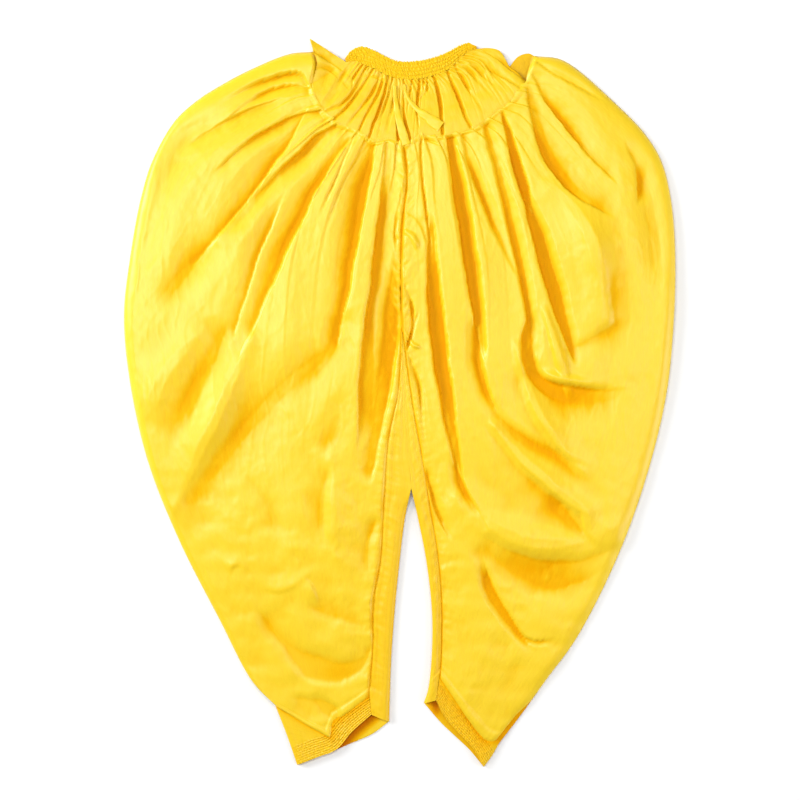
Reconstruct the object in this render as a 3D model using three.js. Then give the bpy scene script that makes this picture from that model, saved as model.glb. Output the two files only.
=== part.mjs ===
// Patiala salwar (Punjabi pants) in thin yellow cotton, laid flat with the front up.
// Millimetres. +Z is up, the waist lies towards +Y, and the hems towards -Y.
import * as THREE from "three";

// Driving sizes.
const CLOTH = 1.5; // wall of a single layer of cloth
const SEAM = 0.34; // how far each piece stops short of a seam it shares
const LAYER_GAP = 0.4; // air between the front and the back where they meet
const SLOPE_LIMIT = 2.2; // most that a steep fold may stretch the wall's upright depth
const CASING = 3; // wall of the elastic casing, cloth over elastic over cloth
const WAIST_RISE = 6.4; // top of the elastic casing over the ground
const SEAM_RISE = 13; // top of the pleats where they leave the yoke
const LEG_RISE = 15.5; // top of the leg where it is fullest
const HEM_RISE = 6.6; // top of the leg where it meets the cuff
const MOUTH_RISE = 5.8; // top of the cuff at its open mouth
const CROTCH_RISE = 8; // top of the strips between the legs
const SHOULDER = 26; // width over which a panel rolls down to its folded edge
const BAND_ROLL = 7; // the same at the side of the yoke and the cuff
const INSIDE_SAG = 0.34; // share by which a leg sinks towards its inside seam, over INSIDE_REACH
const INSIDE_REACH = 70;
const FULL_LEG = 0.35; // share of a leg's length down to where it is fullest
const RUFFLES = 40; // ruffle waves across the front of the elastic
const RUFFLE_RISE = 0.8;
const GATHERS = RUFFLES / 2; // gathers of the yoke below the elastic
const GATHER_RISE = 3;
const CUFF_WIDTH = 125; // flat width of a cuff
const LAYER_STEP = 16; // longest side of a flat layer's outline
const LEAST_BANK = 7; // narrowest bank of a fold
const FOLD_STEPS = 18;
const TAPE_WIDTH = 12; // flat drawstring
const TAPE_THICK = 1.4;
const TAPE_STEPS = 16;
const YELLOW = 0xfbd52f;

const BACK_TOP = CLOTH;
const FRONT_FLOOR = BACK_TOP + LAYER_GAP + CLOTH; // lowest that the outside of a front piece goes

// Plan of the seams and edges. Each list is one edge in runs that are smooth from corner to corner.
const WAIST_TOP = [
  [[-76, 483], [-67, 494], [-53, 500], [-38, 496], [-20, 487], [-4, 480], [18, 479], [43, 483], [66, 491],
    [85, 501], [97, 505], [109, 500]],
];
const WAIST_LOW = [
  [[-74, 478], [-60, 480], [-48, 474], [-32, 468], [-20, 461], [-4, 456], [15, 454], [35, 456], [55, 462],
    [69, 468], [80, 478], [90, 488], [99, 494], [109, 497]],
];
const WAIST_LEFT = [[[-76, 483], [-74, 478]]];
const WAIST_RIGHT = [[[109, 500], [109, 497]]];
const YOKE_SEAM_LEFT = [
  [[7, 358], [-11, 367], [-36, 364], [-59, 379], [-90, 391], [-109, 410], [-119, 428], [-122, 447]],
];
const YOKE_SEAM_RIGHT = [[[7, 358], [29, 372], [60, 372], [101, 382], [112, 386], [136, 406], [160, 424], [178, 451]]];
const FLAP_TOP = [[[-74, 478], [-99, 494], [-125, 511]]];
const FLAP_SIDE = [[[-125, 511], [-120, 493], [-115, 477], [-122, 447]]];
const YOKE_TOP_RIGHT = [[[109, 497], [127, 498], [141, 494], [155, 472]]];
const YOKE_SIDE_RIGHT = [[[155, 472], [167, 463], [178, 451]]];
const FLAP_TIP = 493; // above this the flap stands out past the leg
const NOTCH_TOP = [[[155, 472], [168, 487], [183, 491], [190, 487]]];
const HIP_RIGHT = [[[178, 451], [182, 469], [190, 487]]];
const LEFT_OUTER = [
  [[-120, 493], [-153, 490], [-206, 469], [-248, 447], [-284, 424], [-315, 395], [-346, 340], [-363, 284],
    [-378, 200], [-386, 123], [-378, 32], [-353, -80], [-309, -192], [-252, -304], [-206, -391], [-174, -424]],
];
const RIGHT_OUTER = [
  [[190, 487], [225, 483], [249, 469], [300, 424], [344, 379], [368, 340], [382, 284], [388, 200], [384, 88],
    [374, 4], [346, -108], [305, -220], [248, -332], [207, -388], [172, -437], [141, -477]],
];
const CENTRE = [[[7, 358], [11, 312], [6, 263], [3, 200], [4, 102]]];
const LEFT_INSEAM = [
  [[4, 102], [0, 18], [-14, -52], [-20, -136], [-25, -220],
    [-35, -276], [-36, -346], [-42, -412]],
];
const RIGHT_INSEAM = [
  [[4, 102], [13, 32], [22, -24], [31, -73], [41, -136], [53, -206],
    [59, -276], [59, -353], [57, -385]],
];
const CROTCH_LINE = [[[4, 102], [7, 18], [11, -52], [17, -119]]];
const LEFT_INNER = [[[17, -119], [8, -164], [1, -220], [-6, -290], [-11, -360], [-14, -447]]];
const RIGHT_INNER = [[[17, -119], [27, -164], [38, -220], [46, -290], [46, -353], [41, -402], [35, -421]]];
const LEFT_PUFF = [
  [[-42, -412], [-67, -431], [-91, -448]],
  [[-91, -448], [-97, -470]],
  [[-97, -470], [-134, -449], [-174, -424]],
];
const RIGHT_PUFF = [[[57, -385], [78, -416], [99, -447], [120, -472], [141, -477]]];
const LEFT_MOUTH = [[[-39, -437], [-66, -461], [-88, -486], [-115, -497], [-143, -508]]];
const RIGHT_MOUTH = [[[52, -417], [62, -437], [82, -461], [102, -482], [119, -511]]];
const LEFT_CUFF_END = [[[-174, -424], [-158, -465], [-143, -508]]];
const RIGHT_CUFF_END = [[[141, -477], [130, -496], [119, -511]]];
const LEFT_CUFF_TOP = -385; // where the back's cuff seam meets the inside edge
const RIGHT_CUFF_TOP = -372;
const LEFT_HEM = [[[-14, -447], [-38, -465], [-70, -479], [-97, -491], [-143, -508]]];
const RIGHT_HEM = [[[35, -421], [59, -449], [80, -469], [99, -487], [119, -511]]];

// Folds of the front, one row each, walked from start to end. x, y: plan. depth: below the outside of the
// cloth, or a ridge where it is negative. floor: half the flat bottom. rightHand, leftHand: width of each bank.
const FOLD = ["x0", "y0", "x1", "y1", "x2", "y2", "depth0", "depth1", "depth2", "floor", "rightHand", "leftHand"];
const LEFT_FOLDS = [
  [-139, 470, -192, 442, -253, 413, 6, 7, 0, 1, 16, 5],
  [-139, 441, -197, 419, -279, 371, 3, 8, 5, 2, 5, 18],
  [-258, 385, -318, 354, -326, 235, 3, 6, 0, 6, 14, 22],
  [-113, 407, -174, 388, -239, 336, 3, 4, 0, 1, 5, 14],
  [-139, 393, -192, 312, -279, 204, 5, 8, 6, 1, 18, 5],
  [-272, 211, -314, 165, -349, 113, 6, 5, 0, 6, 16, 16],
  [-91, 386, -130, 354, -192, 295, 6, 10, 6, 4, 6, 20],
  [-181, 305, -218, 267, -253, 224, 6, 6, 0, 5, 10, 12],
  [-153, 309, -189, 228, -228, 109, 2, 6, 4, 2, 14, 5],
  [-78, 360, -134, 267, -216, 81, 5, 10, 3, 3, 20, 5],
  [-69, 360, -91, 305, -115, 253, 2, 3, 0, 1, 5, 5],
  [-38, 363, -76, 312, -104, 228, 2, 3, 0, 1, 5, 5],
  [-36, 358, -52, 277, -85, 95, 5, 11, 8, 4, 16, 5],
  [-83, 109, -108, 53, -160, 11, 8, 5, 2, 5, 14, 18],
  [-18, 340, -29, 228, -52, 102, 3, 9, 9, 3, 5, 16],
  [-46, 116, -52, 4, -55, -94, 9, 6, 0, 4, 6, 14],
  [4, 249, -7, 102, -46, -87, 4, 12, 4, 6, 14, 6],
  [-83, 81, -183, -3, -293, -136, 5, 6, 3, 8, 20, 28],
  [-209, 81, -258, -24, -309, -136, -4, -6, -3, 6, 16, 14],
  [-248, 95, -286, 11, -328, -73, 4, 5, 0, 8, 16, 12],
  [-286, 88, -335, 25, -351, -52, -3, -5, 0, 8, 18, 18],
  [-85, -7, -97, -52, -116, -77, 4, 5, 0, 2, 6, 6],
  [-102, -108, -109, -157, -105, -209, 3, 5, 0, 2, 10, 6],
  [-183, -329, -99, -371, -46, -346, 2, 6, 3, 3, 14, 12],
];
const RIGHT_FOLDS = [
  [35, 371, 31, 340, 43, 228, 3, 3, 5, 1, 5, 4],
  [45, 231, 57, 102, 81, -87, 5, 12, 4, 5, 7, 5],
  [63, 368, 94, 228, 111, 88, 7, 12, 9, 5, 5, 9],
  [109, 95, 118, 32, 144, -31, 9, 8, 2, 3, 10, 5],
  [92, 368, 116, 291, 158, 197, 3, 7, 2, 2, 6, 9],
  [123, 385, 161, 239, 186, 102, 4, 7, 8, 4, 6, 8],
  [183, 109, 190, 39, 246, 4, 8, 9, 5, 8, 6, 10],
  [148, 389, 168, 305, 179, 274, 6, 12, 10, 5, 5, 5],
  [175, 277, 204, 197, 242, 88, 11, 11, 3, 6, 5, 8],
  [183, 438, 214, 340, 276, 276, 4, 9, 4, 7, 5, 16],
  [195, 447, 231, 393, 287, 326, 5, 8, 3, 3, 5, 14],
  [193, 477, 246, 445, 307, 413, 3, 4, 0, 1, 4, 8],
  [329, 343, 339, 305, 332, 263, 3, 8, 0, 3, 6, 12],
  [344, 319, 358, 228, 368, 144, 3, 5, 0, 6, 14, 14],
  [214, 298, 267, 235, 295, 116, -2, -6, -2, 8, 22, 18],
  [288, 197, 307, 130, 267, 81, 3, 5, 3, 8, 10, 16],
  [197, 25, 253, 7, 316, 21, 8, 7, 2, 8, 18, 6],
  [167, 67, 197, -13, 249, -85, -3, -6, -3, 3, 8, 12],
  [141, -41, 204, -105, 267, -185, -4, -5, -2, 5, 12, 12],
  [99, -164, 183, -210, 295, -185, -3, -6, -2, 6, 8, 12],
  [127, -203, 211, -242, 298, -206, 5, 8, 3, 8, 22, 8],
  [115, -199, 141, -273, 195, -328, 7, 9, 3, 3, 6, 6],
  [41, -108, 55, -150, 83, -203, 5, 5, 0, 2, 5, 8],
  [81, -83, 91, -122, 116, -164, 6, 6, 0, 2, 5, 5],
];
const DRAWSTRING = {
  left: [[-6, 446], [-5, 424], [1, 393], [10, 361]],
  right: [[7, 447], [10, 433], [18, 419], [33, 405], [58, 386]],
};

const mix = THREE.MathUtils.lerp;
const ease = (t) => THREE.MathUtils.smootherstep(t, 0, 1);
const even = (count) => Array.from({ length: count + 1 }, (_, k) => k / count);
const wave = (count, t) => Math.cos(2 * Math.PI * count * t);

// An edge as a function of 0 to 1 that gives a plan point, with the corners between its runs kept sharp.
function edge(runs) {
  const curves = runs.map((points) => {
    const curve = new THREE.CatmullRomCurve3(
      points.map(([x, y]) => new THREE.Vector3(x, y, 0)),
      false,
      "centripetal",
    );
    return curve;
  });
  const path = new THREE.CurvePath();
  curves.forEach((curve) => path.add(curve));
  return (t) => {
    const p = path.getPoint(THREE.MathUtils.clamp(t, 0, 1));
    return [p.x, p.y];
  };
}

const reversed = (run) => (t) => run(1 - t);
const part = (run, from, to) => (t) => run(mix(from, to, t));
const line = (a, b) => (t) => [mix(a[0], b[0], t), mix(a[1], b[1], t)];
const joined = (first, second, share) => (t) => (t < share ? first(t / share) : second((t - share) / (1 - share)));

// The share of an edge at which it passes a height, on an edge that falls all the way.
function shareAtY(run, y) {
  let [low, high] = [0, 1];
  for (let k = 0; k < 40; k += 1) {
    const middle = (low + high) / 2;
    if (run(middle)[1] > y) low = middle;
    else high = middle;
  }
  return low;
}

// A point of the panel inside four edges, u across from inner to outer and v down from top to bottom.
function panelPoint({ top, bottom, inner, outer }, u, v) {
  const [a, b, c, d] = [top(0), top(1), bottom(0), bottom(1)];
  return [0, 1].map((k) => {
    const innerBow = inner(v)[k] - mix(a[k], c[k], v);
    const outerBow = outer(v)[k] - mix(b[k], d[k], v);
    return mix(top(u)[k], bottom(u)[k], v) + innerBow * (1 - u) + outerBow * u;
  });
}

// Folds as named values, each with the points of its line.
function foldsFrom(rows) {
  return rows.map((row) => {
    const fold = Object.fromEntries(FOLD.map((name, k) => [name, row[k]]));
    fold.line = new THREE.QuadraticBezierCurve(
      new THREE.Vector2(fold.x0, fold.y0),
      new THREE.Vector2(2 * fold.x1 - (fold.x0 + fold.x2) / 2, 2 * fold.y1 - (fold.y0 + fold.y2) / 2),
      new THREE.Vector2(fold.x2, fold.y2),
    ).getPoints(FOLD_STEPS);
    return fold;
  });
}

// How deep one fold is at a plan point: its depth along the line, less towards the top of each bank.
function foldDepth(fold, x, y) {
  let nearest = { distance: Infinity };
  for (let k = 0; k < FOLD_STEPS; k += 1) {
    const a = fold.line[k];
    const [dx, dy] = [fold.line[k + 1].x - a.x, fold.line[k + 1].y - a.y];
    const t = THREE.MathUtils.clamp(((x - a.x) * dx + (y - a.y) * dy) / (dx * dx + dy * dy), 0, 1);
    const distance = Math.hypot(x - a.x - t * dx, y - a.y - t * dy);
    if (distance < nearest.distance) {
      nearest = { distance, along: (2 * (k + t)) / FOLD_STEPS, left: dx * (y - a.y) - dy * (x - a.x) > 0 };
    }
  }
  const bank = Math.max(LEAST_BANK, nearest.left ? fold.leftHand : fold.rightHand);
  const upper = mix(fold.depth0, fold.depth1, ease(nearest.along));
  const depth = nearest.along < 1 ? upper : mix(fold.depth1, fold.depth2, ease(nearest.along - 1));
  return depth * (1 - ease((nearest.distance - fold.floor) / bank));
}

// The deepest valley less the highest ridge of all the folds at a plan point.
function foldsAt(folds, x, y) {
  const depths = folds.map((fold) => foldDepth(fold, x, y));
  return Math.max(0, ...depths) + Math.min(0, ...depths);
}

// Rounds a panel down towards an edge: 0 at the edge, 1 from the given width inwards.
const rollOff = (distance, width) => Math.sqrt(Math.max(0, 1 - (1 - Math.min(1, distance / width)) ** 2));

// A closed wall of cloth over a panel's plan. rise(u, v, x, y) gives its outside. Its inside lies a wall
// below that, and no lower than the air gap over the back. columns and rows are the shares where it is sampled.
function panelSolid(plan, { columns, rows, rise, wall = CLOTH }) {
  const across = columns.length - 1;
  const down = rows.length - 1;
  const at = (i, j) => j * (across + 1) + i;
  const flat = rows.flatMap((v) => columns.map((u) => panelPoint(plan, u, v)));
  const stepIn = (from, to) => {
    const [dx, dy] = [flat[to][0] - flat[from][0], flat[to][1] - flat[from][1]];
    const length = Math.hypot(dx, dy);
    flat[from] = [flat[from][0] + (dx / length) * SEAM, flat[from][1] + (dy / length) * SEAM];
  };
  for (let j = 0; j <= down; j += 1) {
    stepIn(at(0, j), at(1, j));
    stepIn(at(across, j), at(across - 1, j));
  }
  for (let i = 0; i <= across; i += 1) {
    stepIn(at(i, 0), at(i, 1));
    stepIn(at(i, down), at(i, down - 1));
  }
  const upper = flat.map(([x, y], n) => {
    const u = columns[n % (across + 1)];
    const v = rows[Math.floor(n / (across + 1))];
    return new THREE.Vector3(x, y, Math.max(FRONT_FLOOR, rise(u, v, x, y)));
  });
  const slopeAt = (n) => {
    const [i, j] = [n % (across + 1), Math.floor(n / (across + 1))];
    const along = new THREE.Vector3();
    const toFoot = new THREE.Vector3();
    along.subVectors(upper[at(Math.min(across, i + 1), j)], upper[at(Math.max(0, i - 1), j)]);
    toFoot.subVectors(upper[at(i, Math.min(down, j + 1))], upper[at(i, Math.max(0, j - 1))]);
    return along.cross(toFoot).normalize().z;
  };
  const lower = upper.map((p, n) => {
    const depth = wall * Math.min(SLOPE_LIMIT, 1 / Math.abs(slopeAt(n)));
    return new THREE.Vector3(p.x, p.y, Math.max(BACK_TOP + LAYER_GAP, p.z - depth));
  });
  const middle = at(Math.floor(across / 2), Math.floor(down / 2));
  return closedSolid(upper, lower, across, down, slopeAt(middle) > 0);
}

// Joins an upper and a lower grid of points by a rim into one closed body with its faces pointing out.
function closedSolid(upper, lower, across, down, facesUp) {
  const at = (i, j) => j * (across + 1) + i;
  const under = upper.length;
  const triangles = [];
  const quad = (a, b, c, d) => triangles.push([a, b, c], [a, c, d]);
  for (let j = 0; j < down; j += 1) {
    for (let i = 0; i < across; i += 1) {
      const [a, b, c, d] = [at(i, j), at(i + 1, j), at(i + 1, j + 1), at(i, j + 1)];
      quad(a, b, c, d);
      quad(a + under, d + under, c + under, b + under);
    }
  }
  const rim = (a, b) => quad(b, a, a + under, b + under);
  for (let i = 0; i < across; i += 1) {
    rim(at(i, 0), at(i + 1, 0));
    rim(at(i + 1, down), at(i, down));
  }
  for (let j = 0; j < down; j += 1) {
    rim(at(0, j + 1), at(0, j));
    rim(at(across, j), at(across, j + 1));
  }
  const geometry = new THREE.BufferGeometry().setFromPoints([...upper, ...lower]);
  geometry.setIndex(triangles.flatMap(([a, b, c]) => (facesUp ? [a, b, c] : [a, c, b])));
  geometry.computeVertexNormals();
  return geometry;
}

// A flat layer of cloth on the ground, inside the outline that its edges make end to end.
function layer(edges) {
  const outline = edges.flatMap((run) => {
    const length = even(50).reduce((sum, t, k, all) => {
      const [a, b] = [run(all[Math.max(0, k - 1)]), run(t)];
      return sum + Math.hypot(b[0] - a[0], b[1] - a[1]);
    }, 0);
    const steps = Math.max(1, Math.ceil(length / LAYER_STEP));
    return even(steps).slice(0, -1).map((t) => new THREE.Vector2(...run(t)));
  });
  const turn = THREE.ShapeUtils.isClockWise(outline) ? 1 : -1;
  const inset = outline.map((p, k) => {
    const before = p.clone().sub(outline.at(k - 1)).normalize();
    const after = outline[(k + 1) % outline.length].clone().sub(p).normalize();
    const sum = before.clone().add(after).normalize();
    const inwards = new THREE.Vector2(turn * sum.y, -turn * sum.x);
    return p.clone().addScaledVector(inwards, SEAM / Math.max(0.4, sum.dot(before)));
  });
  return new THREE.ExtrudeGeometry(new THREE.Shape(inset), { depth: CLOTH, bevelEnabled: false });
}

const cotton = new THREE.MeshStandardMaterial({ color: YELLOW, roughness: 0.62, metalness: 0 });
const casing = new THREE.MeshStandardMaterial({ color: YELLOW, roughness: 0.75, metalness: 0 });
const tape = new THREE.MeshStandardMaterial({ color: YELLOW, roughness: 0.7, metalness: 0 });

const salwar = new THREE.Group();
function add(name, geometry, material = cotton) {
  const mesh = new THREE.Mesh(geometry, material);
  mesh.name = name;
  salwar.add(mesh);
}

// Elastic casing: two bands, front over back, with ruffle waves on the front.
const waist = {
  top: edge(WAIST_TOP),
  bottom: edge(WAIST_LOW),
  inner: edge(WAIST_LEFT),
  outer: edge(WAIST_RIGHT),
};
const SEAM_MIDDLE = 0.43; // share of the yoke's lower seam at its middle, the trousers' centre seam
const SEAM_CELLS = 2 * GATHERS; // samples along either half of that seam
const pleatShare = (u) => (u < SEAM_MIDDLE ? u / SEAM_MIDDLE : 1 + (u - SEAM_MIDDLE) / (1 - SEAM_MIDDLE)) / 2;
const BAND_COLUMNS = even(2 * SEAM_CELLS).map((t) =>
  t < 0.5 ? 2 * t * SEAM_MIDDLE : mix(SEAM_MIDDLE, 1, 2 * t - 1),
);
const casingRise = (u, v) => {
  const crown = WAIST_RISE - (2 * v - 1) ** 2;
  return crown + RUFFLE_RISE * wave(RUFFLES, pleatShare(u)) * mix(1, 0.6, v);
};
add("waistband_back", layer([waist.top, waist.outer, reversed(waist.bottom), reversed(waist.inner)]), casing);
add(
  "waistband_front",
  panelSolid(waist, { columns: BAND_COLUMNS, rows: even(3), rise: casingRise, wall: CASING }),
  casing,
);

// Yoke: gathered onto the elastic above, with the pleated legs sewn to its lower edge. Its left corner stands
// out past the leg as a flap, and its right side lies clear of the back.
const seamLeft = edge(YOKE_SEAM_LEFT);
const seamRight = edge(YOKE_SEAM_RIGHT);
const flapTop = edge(FLAP_TOP);
const flapSide = edge(FLAP_SIDE);
const flapTip = part(flapSide, 0, shareAtY(flapSide, FLAP_TIP));
const hipLeft = part(flapSide, shareAtY(flapSide, FLAP_TIP), 1);
const hipRight = edge(HIP_RIGHT);
const yokeTopRight = edge(YOKE_TOP_RIGHT);
const FLAP_SHARE = 0.06; // share of the yoke's columns that the flap takes, left of the elastic
const HIP_CELLS = 3; // samples along the hip, where the flap is sewn to the leg
const yoke = {
  top: joined(reversed(flapTop), waist.bottom, FLAP_SHARE),
  bottom: joined(hipLeft, joined(reversed(seamLeft), seamRight, SEAM_MIDDLE), FLAP_SHARE),
  inner: flapTip,
  outer: joined(yokeTopRight, edge(YOKE_SIDE_RIGHT), 0.5),
};
const YOKE_COLUMNS = [
  ...even(HIP_CELLS).map((t) => t * FLAP_SHARE),
  ...BAND_COLUMNS.slice(1).map((u) => mix(FLAP_SHARE, 1, u)),
];
const yokeRise = (column, v) => {
  const u = Math.max(0, (column - FLAP_SHARE) / (1 - FLAP_SHARE));
  const crown = mix(WAIST_RISE - 1, SEAM_RISE, ease(v));
  const width = yoke.bottom(1)[0] - yoke.bottom(0)[0];
  const side = rollOff(BAND_ROLL + Math.min(u, 1 - u) * width, SHOULDER);
  const gathered = THREE.MathUtils.smoothstep(u, 0.04, 0.3) * (1 - THREE.MathUtils.smoothstep(u, 0.82, 1));
  const height = GATHER_RISE * Math.min(0.25 + 4 * v, 1) * (1 - v ** 2) * gathered;
  return FRONT_FLOOR + (crown - FRONT_FLOOR) * side + (height / 2) * wave(GATHERS, pleatShare(u));
};
const yokeFront = panelSolid(yoke, { columns: YOKE_COLUMNS, rows: even(6), rise: yokeRise });
add("yoke_front", yokeFront);
add(
  "yoke_back",
  layer([
    waist.bottom, yokeTopRight, edge(NOTCH_TOP), reversed(hipRight), reversed(seamRight), seamLeft,
    reversed(hipLeft), reversed(flapTip), reversed(flapTop),
  ]),
);

// Legs. Each front is pleated into the yoke and puffs over its cuff, and each back lies flat under it. A strip
// runs down the inside of each leg, and the two strips meet above the crotch.
const centre = edge(CENTRE);
const crotchLine = edge(CROTCH_LINE);
const folds = foldsFrom([...LEFT_FOLDS, ...RIGHT_FOLDS]);
const CENTRE_SHARE = 0.33; // of the front's inner edge
const CROTCH_SHARE = 0.39; // of a strip's free edge
const STRIP_SHARE = 0.96; // of a strip's sewn edge, above the cuff
const FREE_EDGE_SHARE = 0.08; // over which a strip's free edge comes down below the crotch
const STRIP_WIDTH = 28;
const STRIP_HEAD = 66; // where the strips begin to show between the legs
const LEG_COLUMNS = even(SEAM_CELLS + HIP_CELLS);
const LEG_ROWS = even(21).map((t) => t ** 1.25);
const sides = {
  left: {
    seam: seamLeft,
    hip: reversed(hipLeft),
    outer: edge(LEFT_OUTER),
    inseam: edge(LEFT_INSEAM),
    inner: edge(LEFT_INNER),
    puff: edge(LEFT_PUFF),
    mouth: edge(LEFT_MOUTH),
    cuffEnd: edge(LEFT_CUFF_END),
    cuffTop: LEFT_CUFF_TOP,
    hem: edge(LEFT_HEM),
  },
  right: {
    seam: seamRight,
    hip: hipRight,
    outer: edge(RIGHT_OUTER),
    inseam: edge(RIGHT_INSEAM),
    inner: edge(RIGHT_INNER),
    puff: edge(RIGHT_PUFF),
    mouth: edge(RIGHT_MOUTH),
    cuffEnd: edge(RIGHT_CUFF_END),
    cuffTop: RIGHT_CUFF_TOP,
    hem: edge(RIGHT_HEM),
  },
};
for (const [side, leg] of Object.entries(sides)) {
  const front = {
    top: joined(leg.seam, leg.hip, SEAM_CELLS / (SEAM_CELLS + HIP_CELLS)),
    bottom: leg.puff,
    inner: joined(centre, leg.inseam, CENTRE_SHARE),
    outer: leg.outer,
  };
  const legRise = (u, v, x, y) => {
    const [outerX, outerY] = leg.outer(v);
    const [innerX] = front.inner(v);
    const roll = rollOff(Math.hypot(x - outerX, y - outerY), SHOULDER);
    const below = ease((v - FULL_LEG) / (1 - FULL_LEG));
    const crown = v < FULL_LEG ? mix(SEAM_RISE, LEG_RISE, ease(v / FULL_LEG)) : mix(LEG_RISE, HEM_RISE, below);
    const inside = ease(1 - Math.abs(x - innerX) / INSIDE_REACH) * ease((v - CENTRE_SHARE) / CENTRE_SHARE);
    const depth = foldsAt(folds, x, y) * Math.min(1, v / LEG_ROWS[1]);
    return FRONT_FLOOR + ((crown - FRONT_FLOOR) * (1 - INSIDE_SAG * inside) - depth) * roll;
  };
  add(`${side}_leg_front`, panelSolid(front, { columns: LEG_COLUMNS, rows: LEG_ROWS, rise: legRise }));

  const backInner = joined(crotchLine, leg.inner, CROTCH_SHARE);
  const cuffCorner = backInner(shareAtY(backInner, leg.cuffTop));
  const cuffSeam = line(leg.outer(1), cuffCorner);
  const innerAbove = part(leg.inner, 0, shareAtY(leg.inner, leg.cuffTop));
  const innerBelow = part(leg.inner, shareAtY(leg.inner, leg.cuffTop), 1);
  add(
    `${side}_leg_back`,
    layer([leg.seam, leg.hip, leg.outer, cuffSeam, reversed(innerAbove), reversed(crotchLine), reversed(centre)]),
  );
  add(`${side}_cuff_back`, layer([reversed(cuffSeam), leg.cuffEnd, reversed(leg.hem), reversed(innerBelow)]));

  // The cuff's front hangs from the puffed leg, open at its mouth.
  const cuff = { top: leg.puff, bottom: leg.mouth, inner: line(leg.puff(0), leg.mouth(0)), outer: leg.cuffEnd };
  const cuffRise = (u, v) => {
    const roll = rollOff(BAND_ROLL + (1 - u) * CUFF_WIDTH, SHOULDER);
    return FRONT_FLOOR + (mix(HEM_RISE, MOUTH_RISE, v) - FRONT_FLOOR) * roll;
  };
  add(`${side}_cuff_front`, panelSolid(cuff, { columns: LEG_COLUMNS, rows: even(3), rise: cuffRise }));

  // The strip takes the leg's height along their seam, and rolls down to its free edge below the crotch.
  const from = shareAtY(leg.inseam, STRIP_HEAD);
  const sewnEdge = part(leg.inseam, from, 1);
  const freeFrom = shareAtY(crotchLine, STRIP_HEAD);
  const strip = {
    top: line(sewnEdge(0), crotchLine(freeFrom)),
    bottom: line(leg.mouth(0), leg.inner(1)),
    inner: joined(sewnEdge, line(leg.puff(0), leg.mouth(0)), STRIP_SHARE),
    outer: joined(part(crotchLine, freeFrom, 1), leg.inner, CROTCH_SHARE),
  };
  const stripRise = (u, v, x, y) => {
    const along = mix(CENTRE_SHARE, 1, mix(from, 1, Math.min(1, v / STRIP_SHARE)));
    const sewn = legRise(0, along, x, y);
    const free = ease((v - CROTCH_SHARE) / FREE_EDGE_SHARE);
    const roll = mix(1, rollOff((1 - u) * STRIP_WIDTH, STRIP_WIDTH / 2), free);
    const met = mix(sewn, CROTCH_RISE, ease(v / CROTCH_SHARE));
    return FRONT_FLOOR + (mix(sewn, met, u) - FRONT_FLOOR) * roll;
  };
  const sewnRows = LEG_ROWS.map((v) => ((v - CENTRE_SHARE) / (1 - CENTRE_SHARE) - from) / (1 - from));
  const stripRows = [0, ...sewnRows.filter((v) => v > 0.01).map((v) => v * STRIP_SHARE), 1];
  add(`${side}_inside_strip`, panelSolid(strip, { columns: even(4), rows: stripRows, rise: stripRise }));
}

// Flat drawstring: its two ends come out of the casing and lie over the gathers of the yoke.
function tapeSolid(points) {
  const outside = yokeFront.attributes.position;
  const crest = (x, y) => {
    let top = WAIST_RISE;
    for (let k = 0; k < outside.count; k += 1) {
      const near = Math.hypot(outside.getX(k) - x, outside.getY(k) - y) < 1.4 * TAPE_WIDTH;
      if (near) top = Math.max(top, outside.getZ(k));
    }
    return top + LAYER_GAP + TAPE_THICK / 2;
  };
  const run = edge([points]);
  const route = even(TAPE_STEPS).map((t) => new THREE.Vector3(...run(t), crest(...run(t))));
  route[0].z = route[1].z;
  const [half, thick] = [TAPE_WIDTH / 2, TAPE_THICK / 2];
  const quarter = [[thick, half - thick], [thick / 2, half], [-thick / 2, half], [-thick, half - thick]];
  const section = [...quarter, ...quarter.map(([x, y]) => [-x, -y])];
  return new THREE.ExtrudeGeometry(new THREE.Shape(section.map(([x, y]) => new THREE.Vector2(x, y))), {
    extrudePath: new THREE.CatmullRomCurve3(route),
    steps: TAPE_STEPS,
    bevelEnabled: false,
  });
}
for (const [end, points] of Object.entries(DRAWSTRING)) add(`drawstring_${end}_end`, tapeSolid(points), tape);

// The origin lies under the middle of the garment, on the surface it rests on.
const extent = new THREE.Box3().setFromObject(salwar);
const middle = extent.getCenter(new THREE.Vector3());
salwar.position.set(-middle.x, -middle.y, -extent.min.z);

export default salwar;
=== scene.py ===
"""Patiala salwar (Punjabi pants) in thin yellow cotton, laid flat with the front up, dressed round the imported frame.

Plan places and heights are millimetres of the cutting plan: the waist lies towards +Y, +Z is up from the ground,
and left and right are as the front is seen from above. Row.metres turns them into the row frame.
"""
import sys
import logging
import math
from dataclasses import dataclass
from enum import Enum
from typing import Any, Callable, Optional, Sequence

import bpy
import numpy as np
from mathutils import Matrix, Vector


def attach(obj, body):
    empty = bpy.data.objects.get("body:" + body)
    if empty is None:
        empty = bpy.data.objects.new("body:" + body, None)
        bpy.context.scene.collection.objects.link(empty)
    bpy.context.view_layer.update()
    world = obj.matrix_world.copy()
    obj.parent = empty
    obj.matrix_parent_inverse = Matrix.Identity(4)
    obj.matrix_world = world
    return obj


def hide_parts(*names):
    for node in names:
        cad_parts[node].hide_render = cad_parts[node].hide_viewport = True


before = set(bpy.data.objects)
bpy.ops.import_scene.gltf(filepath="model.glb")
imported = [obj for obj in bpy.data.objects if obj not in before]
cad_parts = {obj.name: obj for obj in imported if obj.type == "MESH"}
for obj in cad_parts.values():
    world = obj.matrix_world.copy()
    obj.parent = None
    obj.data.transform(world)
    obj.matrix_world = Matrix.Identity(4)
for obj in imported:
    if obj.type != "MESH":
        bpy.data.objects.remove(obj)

Array = np.ndarray
Run = Sequence[tuple[float, float]]
Colour = tuple[float, float, float]

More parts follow.
